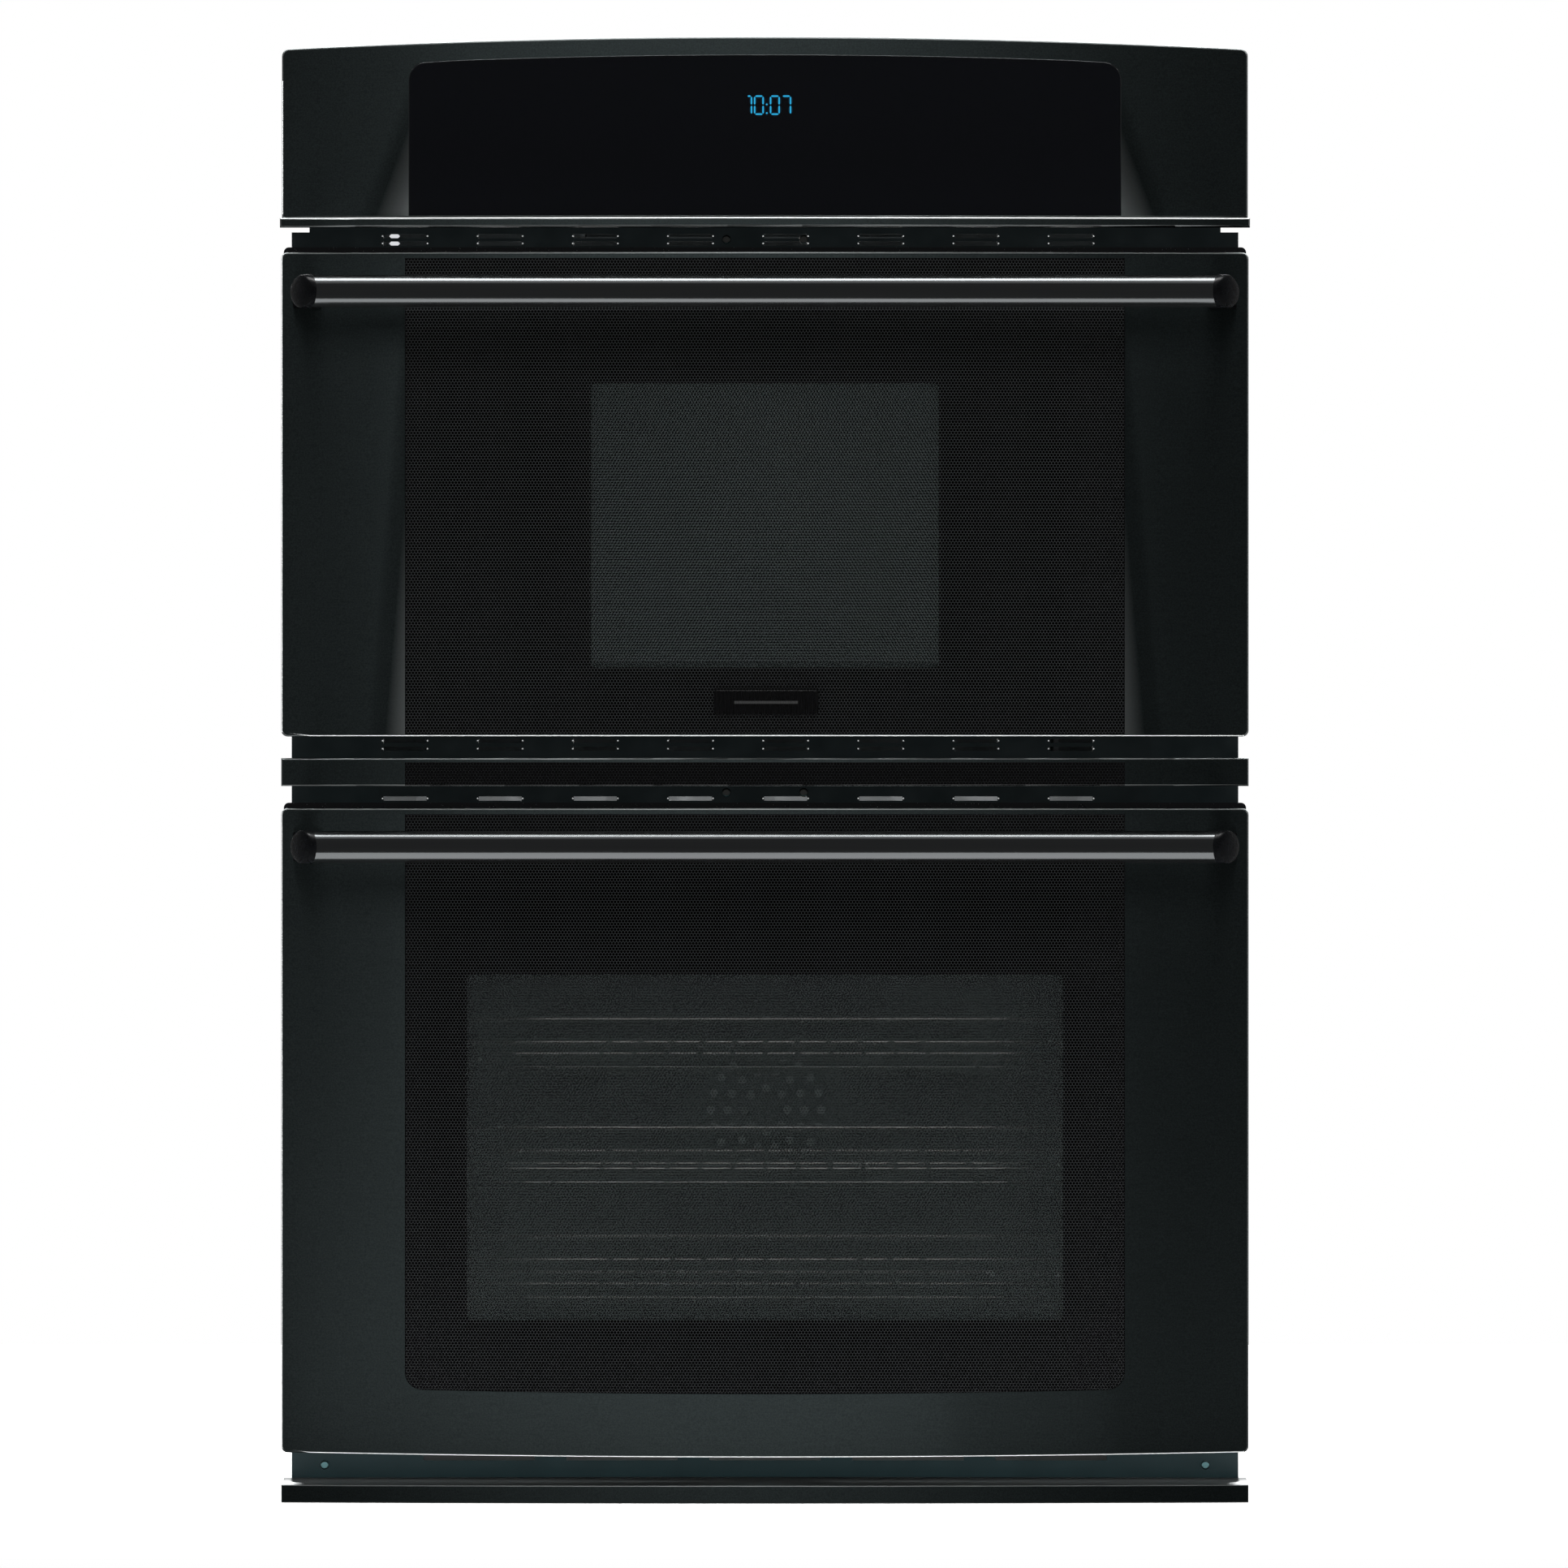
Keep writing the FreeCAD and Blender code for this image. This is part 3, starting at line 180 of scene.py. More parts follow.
# Cards that light only some parts: name, place, aimed at, width, height, watts, lit nodes, colour
CARDS = (
    ("front_card", (-0.20, -3.5, 2.6), (-0.06, -0.06, 0.6), 1.0, 1.7, 15.0, SKINS, WHITE),
    ("front_card_fade", (0.45, -3.5, 2.6), (0.2, -0.06, 0.6), 0.35, 1.7, 2.0, SKINS, WHITE),
    ("left_card", (-2.4, -0.6, 0.6), (-0.3, 0.0, 0.6), 0.9, 2.4, 1.5, SKINS, WHITE),
    ("right_card", (2.4, -0.6, 0.6), (0.3, 0.0, 0.6), 0.9, 2.4, 5.0, SKINS, WHITE),
    ("gap_card", (0.0, -2.5, 0.9), (0.0, 0.0, 0.6), 2.4, 0.8, 3.4, RAILS, PALE_TEAL),
    ("bottom_gap_card", (0.0, -0.30, 0.045), (0.0, 0.0, 0.03), 2.0, 0.03, 0.5, BOTTOM_GAP, TEAL),
    ("hem_glint_card", (0.0, -2.5, 1.5), (0.0, 0.0, 0.9), 2.0, 1.0, 90.0, HEM_GLINTS, WHITE),
    ("slot_glint_card", (0.0, -2.5, 1.5), (0.0, 0.0, 0.9), 2.0, 1.0, 60.0, SLOT_GLINTS, WHITE),
    ("print_card", (0.0, -3.0, 3.4), (0.0, -0.06, 0.6), 2.0, 1.0, 22.0, GLASSES, WHITE),
    ("overhead_box", (0.0, 1.7, 3.2), (0.0, 1.3, 0.0), 4.5, 2.4, 240.0, FRONT + ("floor",), WHITE),
    ("floor_wash", (0.0, -0.4, 2.8), (0.0, -0.4, 0.0), 3.2, 0.9, 130.0, ("floor",), WHITE),
    ("handle_floor_card", (0.0, 1.425, 0.01), (0.0, 1.425, 1.0), 3.0, 4.15, 39.0, HANDLES, WHITE),
    ("skin_pool_middle", (-0.12, -0.42, 0.01), (-0.12, -0.42, 1.0), 0.55, 0.60, 0.5, SKINS, WHITE),
    ("skin_pool_wide", (-0.14, -0.42, 0.01), (-0.14, -0.42, 1.0), 0.85, 0.60, 0.5, SKINS, WHITE),
    ("skin_floor_card", (0.0, -0.42, 0.01), (0.0, -0.42, 1.0), 2.4, 0.60, 1.6, SKINS, WHITE),
    ("trim_back_card", (0.0, 3.0, 0.75), (0.0, 0.0, 0.02), 2.4, 0.8, 60.0, ("base_trim",), WHITE),
)


# ---------------------------------------------------------------- node helpers


class Look:
    """A node material with short calls to add nodes and join them."""

    def __init__(self, name, **sockets):
        self.material = bpy.data.materials.new(name)
        self.material.use_nodes = True
        self.tree = self.material.node_tree
        self.shader = self.tree.nodes["Principled BSDF"]
        self.space = self.node("ShaderNodeTexCoord").outputs["Object"]
        for socket, value in sockets.items():
            self.set(socket.replace("_", " "), value)

    def put(self, socket, value):
        if isinstance(value, bpy.types.NodeSocket):
            self.tree.links.new(value, socket)
        elif isinstance(value, tuple) and socket.type == "RGBA" and len(value) == 3:
            socket.default_value = (*value, 1.0)
        else:
            socket.default_value = value

    def set(self, name, value):
        self.put(self.shader.inputs[name], value)

    def node(self, kind, inputs=None, **settings):
        made = self.tree.nodes.new(kind)
        for setting, value in settings.items():
            setattr(made, setting, value)
        for key, value in (inputs or {}).items():
            self.put(made.inputs[key], value)
        return made

    def scaled(self, x, y, z, source=None):
        inputs = {0: source or self.space, 1: (x, y, z)}
        return self.node("ShaderNodeVectorMath", inputs, operation="MULTIPLY").outputs[0]

    def noise(self, scale, detail=3.0, rough=0.5, at=None, distort=0.0):
        inputs = {"Vector": at or self.space, "Scale": scale, "Detail": detail, "Roughness": rough}
        inputs["Distortion"] = distort
        return self.node("ShaderNodeTexNoise", inputs).outputs["Fac"]

    def cells(self, scale, output="Distance", at=None, feature="F1"):
        inputs = {"Vector": at or self.space, "Scale": scale}
        return self.node("ShaderNodeTexVoronoi", inputs, feature=feature).outputs[output]

    def range(self, value, low, high, to_low=0.0, to_high=1.0):
        inputs = {0: value, 1: low, 2: high, 3: to_low, 4: to_high}
        return self.node("ShaderNodeMapRange", inputs, clamp=True).outputs[0]

    def math(self, kind, first, second=0.0):
        return self.node("ShaderNodeMath", {0: first, 1: second}, operation=kind).outputs[0]

    def mix(self, factor, first, second):
        made = self.node("ShaderNodeMix", data_type="RGBA")
        self.put(made.inputs[0], factor)
        self.put(made.inputs[6], first)
        self.put(made.inputs[7], second)
        return made.outputs[2]

    def axis(self, name):
        split = self.node("ShaderNodeSeparateXYZ", {0: self.space})
        return split.outputs[name]

    def bump(self, height, distance, strength=1.0):
        inputs = {"Height": height, "Distance": distance, "Strength": strength}
        self.set("Normal", self.node("ShaderNodeBump", inputs).outputs[0])

    def within(self, axis, low, high):
        """1 where the coordinate lies between low and high, 0 elsewhere."""
        value = self.axis(axis)
        above = self.math("GREATER_THAN", value, low)
        below = self.math("LESS_THAN", value, high)
        return self.math("MULTIPLY", above, below)


def wear(look, color, amount, scale=9.0):
    """Base colour that drifts by amount over the surface, as real coatings do."""
    dark = tuple(c * (1 - amount) for c in color)
    light = tuple(min(1.0, c * (1 + amount)) for c in color)
    return look.mix(look.noise(scale, 4.0), dark, light)


# ---------------------------------------------------------------- finishes


def satin_black(name="satin_black", printed=None):
    """Black stainless skin with a painted highlight on its rounded edges; printed gives a dotted band's half
    width, low, high.
    """
    look = Look(name, Anisotropic=1.0, Anisotropic_Rotation=0.25)
    streaks = look.noise(1.0, 3.0, at=look.scaled(60.0, 60.0, 900.0))
    grain = look.noise(900.0, 2.0)
    clouds = look.noise(4.0, 3.0)
    streak_tone = look.range(streaks, 0.3, 0.7, 0.95, 1.05)
    tone = look.math("MULTIPLY", streak_tone, look.range(clouds, 0.3, 0.7, 0.93, 1.07))
    tone = look.math("MULTIPLY", tone, look.range(grain, 0.3, 0.7, 0.8, 1.2))
    color = look.node("ShaderNodeVectorMath", {0: SATIN, "Scale": tone}, operation="SCALE").outputs[0]
    normal = look.node("ShaderNodeTexCoord").outputs["Normal"]
    facing = look.node("ShaderNodeSeparateXYZ", {0: normal})
    side, front, top = (look.math("ABSOLUTE", facing.outputs[axis]) for axis in "XYZ")
    # Painted highlight: edges whose normals turn both forward and sideways or up get the bright steel colour
    painted_edge_highlight = look.range(look.math("MULTIPLY", look.math("MAXIMUM", side, top), front), 0.12, 0.34)
    color = look.mix(painted_edge_highlight, color, EDGE_HIGHLIGHT_STEEL)
    if printed:
        half, low, high = printed
        mask = look.math("MULTIPLY", look.within("X", -half, half), look.within("Z", low, high))
        ink = look.mix(dots(look, DENSE_DOT, DOT_SOFT), tuple(c * 0.3 for c in PRINT_GREY), PRINT_BLACK)
        look.set("Base Color", look.mix(mask, color, ink))
        look.set("Metallic", look.math("SUBTRACT", 1.0, mask))
        look.set("Roughness", look.range(mask, 0.0, 1.0, 0.35, 0.06))
    else:
        look.set("Base Color", color)
        look.set("Metallic", 1.0)
        look.set("Roughness", look.range(grain, 0.25, 0.75, 0.38, 0.43))
    tangent = look.node("ShaderNodeTangent", direction_type="RADIAL", axis="Z")
    look.set("Tangent", tangent.outputs[0])
    look.bump(look.math("ADD", grain, streaks), 0.00003, 0.25)
    return look.material


def black_enamel():
    """Powder-coated frame metal with a fine orange peel."""
    look = Look("black_enamel", Specular_IOR_Level=0.4)
    look.set("Base Color", wear(look, (0.034, 0.043, 0.045), 0.2))
    look.set("Roughness", look.range(look.noise(40.0, 3.0), 0.3, 0.7, 0.42, 0.55))
    look.bump(look.noise(1400.0, 2.0), 0.00008, 0.5)
    return look.material


def dots(look, radius, soft):
    """1 inside the dots of a triangular lattice in the XZ plane, 0 between them."""
    across = look.scaled(1 / DOT_PITCH, 0.0, 1 / DOT_ROW)
    nearest = None
    for shift in ((0.0, 0.0, 0.0), (0.5, 0.0, 0.5)):
        moved = look.node("ShaderNodeVectorMath", {0: across, 1: shift}, operation="ADD").outputs[0]
        cell = look.node("ShaderNodeVectorMath", {0: moved}, operation="FRACTION").outputs[0]
        inputs = {0: cell, 1: (0.5, 0.0, 0.5)}
        centred = look.node("ShaderNodeVectorMath", inputs, operation="SUBTRACT").outputs[0]
        flat = look.scaled(1.0, 0.0, math.sqrt(3), centred)
        length = look.node("ShaderNodeVectorMath", {0: flat}, operation="LENGTH").outputs["Value"]
        nearest = length if nearest is None else look.math("MINIMUM", nearest, length)
    inner = look.math("SUBTRACT", radius, soft)
    outer = look.math("ADD", radius, soft)
    inputs = {0: nearest, 1: inner, 2: outer, 3: 1.0, 4: 0.0}
    return look.node("ShaderNodeMapRange", inputs, clamp=True).outputs[0]


def rounded_window(look, half, low, high, radius):
    """1 inside a rounded rectangle on the face, 0 outside it."""
    middle = (low + high) / 2
    reach = (half - radius, (high - low) / 2 - radius)
    x = look.math("SUBTRACT", look.math("ABSOLUTE", look.axis("X")), reach[0])
    z = look.math("ABSOLUTE", look.math("SUBTRACT", look.axis("Z"), middle))
    z = look.math("SUBTRACT", z, reach[1])
    x = look.math("MAXIMUM", x, 0.0)
    z = look.math("MAXIMUM", z, 0.0)
    away = look.math("SQRT", look.math("ADD", look.math("MULTIPLY", x, x), look.math("MULTIPLY", z, z)))
    return look.math("LESS_THAN", away, radius)


def printed_glass(name, half, low, high, radius, tone):
    """Door glass: dense black dots on a grey print, and sparse dots where the window is."""
    look = Look(name, IOR=1.5, Specular_IOR_Level=0.5)
    window = rounded_window(look, half, low, high, radius)
    size = look.range(window, 0.0, 1.0, DENSE_DOT, SPARSE_DOT)
    dot = dots(look, size, DOT_SOFT)
    grey, clear = (
        look.mix(look.noise(6.0, 3.0), tuple(c * tone for c in shade), tuple(c * tone * 1.15 for c in shade))
        for shade in (PRINT_GREY, WINDOW_GREY)
    )
    between = look.mix(window, grey, clear)
    look.set("Base Color", look.mix(dot, between, PRINT_BLACK))
    see_through = look.math("MULTIPLY", window, look.math("SUBTRACT", 1.0, dot))
    look.set("Alpha", look.range(see_through, 0.0, 1.0, 1.0, 0.5))
    smudges = look.noise(14.0, 4.0, 0.6)
    look.set("Roughness", look.range(smudges, 0.35, 0.75, 0.04, 0.075))
    look.bump(look.noise(3.5, 1.0), 0.0004, 0.06)
    return look.material


def control_glass():
    """Black touch glass with faint finger smudges."""
    look = Look("control_glass", IOR=1.5)
    smudges = look.noise(26.0, 5.0, 0.65)
    look.set("Base Color", look.mix(smudges, (0.0056, 0.0066, 0.0100), (0.0066, 0.0078, 0.0116)))
    look.set("Roughness", look.range(smudges, 0.4, 0.8, 0.05, 0.12))
    look.bump(look.noise(4.0, 1.0), 0.0004, 0.05)
    return look.material


def clear_glass():
    """Inner door pane and turntable tray."""
    look = Look("clear_glass", IOR=1.5)
    look.set("Base Color", wear(look, (0.10, 0.12, 0.12), 0.15))
    edge = look.node("ShaderNodeFresnel", {"IOR": 1.45}).outputs[0]
    look.set("Alpha", look.range(edge, 0.03, 0.6, 0.12, 0.75))
    look.set("Roughness", look.range(look.noise(20.0, 4.0), 0.3, 0.7, 0.02, 0.07))
    return look.material


def speckled_enamel():
    """Dark porcelain enamel with pale speckles."""
    look = Look("speckled_enamel", Coat_Weight=0.6, Coat_Roughness=0.08, Coat_IOR=COAT_IOR)
    fine = look.range(look.cells(420.0), 0.10, 0.16, 1.0, 0.0)
    chosen = look.range(look.noise(230.0, 1.0), 0.50, 0.56, 0.0, 1.0)
    speckle = look.math("MULTIPLY", fine, chosen)
    ground = look.mix(look.noise(8.0, 4.0), (0.020, 0.024, 0.032), (0.030, 0.034, 0.044))
    look.set("Base Color", look.mix(speckle, ground, (0.42, 0.44, 0.47)))
    look.set("Roughness", look.range(look.noise(30.0, 3.0), 0.3, 0.7, 0.2, 0.34))
    look.bump(look.noise(90.0, 3.0), 0.0003, 0.25)
    return look.material


def microwave_paint():
    """Pale grey acrylic paint of the microwave cavity."""
    look = Look("microwave_paint", Coat_Weight=0.2, Coat_Roughness=0.15)
    look.set("Base Color", wear(look, (0.34, 0.35, 0.34), 0.08))
    look.set("Roughness", look.range(look.noise(30.0, 3.0), 0.3, 0.7, 0.32, 0.44))
    look.bump(look.noise(700.0, 2.0), 0.00008, 0.35)
    return look.material


def microwave_screen():
    """Black perforated door screen: open holes inside its painted border."""
    look = Look("microwave_screen")
    field = rounded_window(look, *SCREEN_FIELD)
    hole = look.math("MULTIPLY", field, dots(look, SCREEN_HOLE, DOT_SOFT))
    look.set("Alpha", look.math("SUBTRACT", 1.0, hole))
    look.set("Base Color", wear(look, (0.030, 0.033, 0.034), 0.15))
    look.set("Roughness", look.range(look.noise(50.0), 0.3, 0.7, 0.4, 0.52))
    return look.material


def dark_chrome():
    """Tinted, lightly brushed chrome of the handles."""
    look = Look("dark_chrome", Metallic=1.0)
    streaks = look.noise(1.0, 4.0, at=look.scaled(6.0, 900.0, 900.0))
    look.set("Base Color", look.mix(streaks, (0.19, 0.20, 0.205), (0.23, 0.24, 0.245)))
    look.set("Roughness", look.range(streaks, 0.3, 0.7, 0.13, 0.19))
    look.bump(streaks, 0.00002, 0.2)
    return look.material


def black_chrome():
    """Gloss black plating of the handle brackets."""
    look = Look("black_chrome", Specular_IOR_Level=0.35)
    look.set("Base Color", wear(look, (0.008, 0.009, 0.011), 0.2, 60.0))
    look.set("Roughness", look.range(look.noise(200.0), 0.3, 0.7, 0.22, 0.34))
    look.bump(look.noise(900.0, 2.0), 0.00004, 0.3)
    return look.material


def rack_chrome():
    """Chromed wire of the racks and their guides."""
    look = Look("rack_chrome", Metallic=1.0)
    look.set("Base Color", wear(look, (0.62, 0.62, 0.60), 0.12, 25.0))
    look.set("Roughness", look.range(look.noise(120.0), 0.3, 0.7, 0.14, 0.28))
    look.bump(look.noise(600.0), 0.00005, 0.3)
    return look.material


def galvanized():
    """Zinc-coated sheet with its crystal spangle."""
    look = Look("galvanized", Metallic=0.9)
    bend = look.noise(60.0, 2.0)
    inputs = {0: look.space, 1: look.scaled(0.006, 0.006, 0.006, bend)}
    warped = look.node("ShaderNodeVectorMath", inputs, operation="ADD")
    crystal = look.cells(70.0, "Color", warped.outputs[0])
    grain = look.node("ShaderNodeSeparateColor", {0: crystal}).outputs[0]
    stain = look.noise(4.0, 5.0)
    grain_tone = look.range(grain, 0.0, 1.0, 0.82, 1.1)
    bright = look.math("MULTIPLY", grain_tone, look.range(stain, 0.3, 0.7, 0.9, 1.06))
    color = look.node("ShaderNodeVectorMath", {0: (0.40, 0.42, 0.43), "Scale": bright}, operation="SCALE")
    look.set("Base Color", color.outputs[0])
    look.set("Roughness", look.range(grain, 0.0, 1.0, 0.36, 0.52))
    look.bump(look.math("ADD", grain, look.noise(300.0)), 0.00004, 0.4)
    return look.material


def brushed_steel(name, color, rough_low, rough_high):
    """Plain brushed or zinc-plated steel."""
    look = Look(name, Metallic=1.0)
    streaks = look.noise(1.0, 4.0, at=look.scaled(40.0, 40.0, 900.0))
    look.set("Base Color", look.mix(streaks, tuple(c * 0.85 for c in color), color))
    look.set("Roughness", look.range(look.noise(35.0, 4.0), 0.3, 0.7, rough_low, rough_high))
    look.bump(streaks, 0.00004, 0.3)
    return look.material


def mineral_wool():
    """Matted glass fibre."""
    look = Look("mineral_wool", Roughness=0.95, Sheen_Weight=0.25, Sheen_Roughness=0.5)
    strands = look.noise(1.0, 6.0, 0.7, look.scaled(60.0, 60.0, 420.0), 2.0)
    lumps = look.noise(28.0, 5.0, 0.6)
    look.set("Base Color", look.mix(strands, (0.55, 0.50, 0.36), (0.80, 0.77, 0.66)))
    look.bump(look.math("ADD", strands, lumps), 0.004, 0.7)
    return look.material


def element_sheath():
    """Oxidised tube of the heating elements."""
    look = Look("element_sheath", Metallic=0.3)
    blotch = look.noise(45.0, 5.0, 0.6)
    look.set("Base Color", look.mix(blotch, (0.035, 0.032, 0.030), (0.11, 0.095, 0.082)))
    look.set("Roughness", look.range(blotch, 0.3, 0.7, 0.5, 0.72))
    look.bump(look.noise(900.0), 0.0001, 0.4)
    return look.material


def cast_fins():
    """Magnetron: pressed aluminium fins and a cap."""
    look = Look("cast_fins", Metallic=1.0)
    inputs = {"Vector": look.space, "Scale": 110.0}
    wave = look.node("ShaderNodeTexWave", inputs, bands_direction="Z").outputs["Fac"]
    look.set("Base Color", look.mix(wave, (0.30, 0.31, 0.31), (0.62, 0.63, 0.63)))
    look.set("Roughness", look.range(look.noise(60.0), 0.3, 0.7, 0.3, 0.45))
    look.bump(wave, 0.0012, 0.8)
    return look.material


def solder_mask():
    """Green circuit board with copper tracks and tinned pads."""
    look = Look("solder_mask", Coat_Weight=0.4, Coat_Roughness=0.15)
    tracks = look.cells(150.0, "Distance", look.scaled(1.0, 1.0, 1.0), "F2")
    line = look.range(tracks, 0.75, 0.8, 0.0, 1.0)
    pad = look.range(look.cells(190.0), 0.14, 0.17, 1.0, 0.0)
    green = look.mix(line, (0.008, 0.06, 0.022), (0.02, 0.13, 0.045))
    look.set("Base Color", look.mix(pad, green, (0.55, 0.54, 0.50)))
    look.set("Roughness", look.range(pad, 0.0, 1.0, 0.42, 0.25))
    look.bump(pad, 0.0003, 0.5)
    return look.material


def frosted_lamp():
    """Etched glass of the oven lamps."""
    look = Look("frosted_lamp", Transmission_Weight=0.35, IOR=1.5)
    look.set("Base Color", wear(look, (0.80, 0.79, 0.74), 0.06))
    look.set("Roughness", look.range(look.noise(90.0), 0.3, 0.7, 0.28, 0.42))
    look.bump(look.noise(260.0), 0.0002, 0.3)
    return look.material


def braided_gasket():
    """Woven fibreglass sleeve of the door gasket."""
    look = Look("braided_gasket", Roughness=0.9, Sheen_Weight=0.2)
    inputs = {"Vector": look.scaled(1.0, 1.0, 1.0), "Scale": 130.0}
    over = look.node("ShaderNodeTexWave", inputs, bands_direction="DIAGONAL").outputs["Fac"]
    inputs = {"Vector": look.scaled(-1.0, 1.0, 1.0), "Scale": 130.0}
    under = look.node("ShaderNodeTexWave", inputs, bands_direction="DIAGONAL").outputs["Fac"]
    weave = look.math("MAXIMUM", over, under)
    look.set("Base Color", look.mix(weave, (0.10, 0.10, 0.095), (0.30, 0.29, 0.27)))
    look.bump(weave, 0.0006, 0.8)
    return look.material


def molded_plastic(name, color, low, high):
    """Moulded plastic with a fine texture."""
    look = Look(name, Specular_IOR_Level=0.5)
    look.set("Base Color", wear(look, color, 0.06, 20.0))
    look.set("Roughness", look.range(look.noise(70.0), 0.3, 0.7, low, high))
    look.bump(look.noise(1500.0), 0.00005, 0.4)
    return look.material


def badge_plate():
    """Black plate with a polished bar."""
    look = Look("badge_plate", IOR=1.5)
    bar = look.math("LESS_THAN", look.axis("Y"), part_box("badge")[0].y + BADGE_BAR_DEPTH)
    grain = look.noise(1.0, 3.0, at=look.scaled(900.0, 900.0, 40.0))
    silver = look.mix(grain, (0.55, 0.56, 0.56), (0.72, 0.73, 0.73))
    look.set("Base Color", look.mix(bar, (0.006, 0.006, 0.007), silver))
    look.set("Metallic", bar)
    look.set("Roughness", look.range(grain, 0.3, 0.7, 0.22, 0.32))
    return look.material


def clock_blue():
    """Lit segments of the clock."""
    look = Look("clock_blue", Emission_Strength=1.0)
    look.set("Base Color", (0.005, 0.02, 0.03))
    glow = look.mix(look.noise(300.0), (0.018, 0.36, 0.66), (0.030, 0.42, 0.74))
    look.set("Emission Color", glow)
    look.set("Roughness", look.range(look.noise(500.0), 0.3, 0.7, 0.3, 0.5))
    return look.material


def clock_halo():
    """Faint glow in the glass around the segments."""
    look = Look("clock_halo", Emission_Strength=1.0)
    look.set("Base Color", (0.003, 0.006, 0.008))
    look.set("Emission Color", look.mix(look.noise(200.0), (0.004, 0.012, 0.022), (0.005, 0.018, 0.030)))
    look.set("Alpha", 0.6)
    look.set("Roughness", look.range(look.noise(500.0), 0.3, 0.7, 0.3, 0.5))
    return look.material


def painted_daylight_white():
    """Painted daylight: glowing white in the ends of the first slots, where the light shows through."""
    look = Look("painted_daylight_white", Emission_Strength=0.75)
    look.set("Base Color", wear(look, (0.80, 0.80, 0.80), 0.05, 300.0))
    look.set("Emission Color", look.mix(look.noise(500.0), (0.88, 0.90, 0.95), (0.97, 0.98, 1.0)))
    look.set("Roughness", look.range(look.noise(500.0), 0.3, 0.7, 0.4, 0.5))
    return look.material


def painted_glint_steel():
    """Bright steel for the painted glints at the slot ends and the painted highlights along the edges."""
    look = Look("painted_glint_steel", Metallic=0.6)
    look.set("Base Color", wear(look, (0.75, 0.77, 0.77), 0.1, 400.0))
    look.set("Roughness", look.range(look.noise(600.0), 0.3, 0.7, 0.3, 0.5))
    return look.material


def polished_bead():
    """Polished edge around the control glass."""
    look = Look("polished_bead", Metallic=1.0)
    look.set("Base Color", wear(look, (0.20, 0.215, 0.22), 0.1, 40.0))
    look.set("Roughness", look.range(look.noise(200.0), 0.3, 0.7, 0.16, 0.26))
    return look.material


def give(material, *nodes):
    """Put one material on CAD nodes."""
    for name in nodes:
        slots = frame["nodes"][name].data.materials
        slots.clear()
        slots.append(material)


def finish_cad():
    """Give every CAD node its finish."""
    give(
        galvanized(), "chassis_base", "chassis_side_left", "chassis_side_right", "chassis_back",
        "chassis_top", "oven_divider_shelf", "conduit_box", "blower_housing",
    )
    give(black_enamel(), *RAILS, "microwave_cheek_plates")
    give(satin_black(), "base_trim", "control_fascia", "control_lip", "upper_door_skin", "lower_door_skin")
    give(satin_black("satin_black_printed", CENTER_PRINT), "center_trim")
    give(control_glass(), "control_glass")
    give(printed_glass("upper_print", *UPPER_WINDOW, UPPER_TONE), "upper_door_glass")
    give(printed_glass("lower_print", *LOWER_WINDOW, LOWER_TONE), "lower_door_glass")
    give(clear_glass(), "lower_door_inner_glass", "turntable_tray")
    give(speckled_enamel(), "oven_cavity_walls", "convection_baffle", "lower_door_liner", "upper_door_liner")
    give(microwave_paint(), "microwave_cavity_walls")
    give(microwave_screen(), "upper_door_screen")
    give(dark_chrome(), *HANDLES)
    give(black_chrome(), "upper_handle_brackets", "lower_handle_brackets")
    give(rack_chrome(), "rack_top", "rack_middle", "rack_bottom", "rack_guides")
    give(mineral_wool(), "oven_insulation")
    give(element_sheath(), "broil_element", "bake_element", "temperature_probe")
    give(
        brushed_steel("zinc_steel", (0.50, 0.50, 0.48), 0.3, 0.45), "hinge_receivers", "upper_hinge_arms",
        "lower_hinge_arms", "door_latch_hook", "convection_fan", "blower_wheel", "frame_screws",
    )
    give(
        brushed_steel("motor_steel", (0.30, 0.30, 0.31), 0.38, 0.55), "convection_motor", "turntable_motor",
        "hv_transformer",
    )
    give(cast_fins(), "magnetron")
    give(solder_mask(), "control_board")
    give(frosted_lamp(), "oven_lamps")
    give(braided_gasket(), "oven_gasket")
    give(molded_plastic("white_plastic", (0.72, 0.71, 0.67), 0.38, 0.5), "turntable_coupler", "roller_ring")
    give(badge_plate(), "badge")


# ---------------------------------------------------------------- new pieces


def face_y(x, front=BOW_FRONT):
    """Depth of the bowed face at x."""
    return front + BOW_RADIUS - math.sqrt(BOW_RADIUS**2 - x**2)


def add_piece(name, mesh, material, body):
    """Add a new piece that rides on a body."""
    piece = bpy.data.objects.new(name, mesh)
    bpy.context.scene.collection.objects.link(piece)
    piece.data.materials.append(material)
    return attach(piece, body)


def stroke(bm, start, end, width, y, depth):
    """A flat bar with pointed ends from start to end, both (x, z)."""
    along = (end[0] - start[0], end[1] - start[1])
    length = math.hypot(*along)
    u = (along[0] / length, along[1] / length)
    v = (-u[1], u[0])
    h = width / 2
    outline = []
    for a, b in ((0, 0), (h, -h), (length - h, -h), (length, 0), (length - h, h), (h, h)):
        outline.append((start[0] + u[0] * a + v[0] * b, start[1] + u[1] * a + v[1] * b))
    front = [bm.verts.new((x, y, z)) for x, z in outline]
    back = [bm.verts.new((x, y + depth, z)) for x, z in outline]
    bm.faces.new(front)
    bm.faces.new(list(reversed(back)))
    for i in range(len(outline)):
        j = (i + 1) % len(outline)
        bm.faces.new((front[j], front[i], back[i], back[j]))


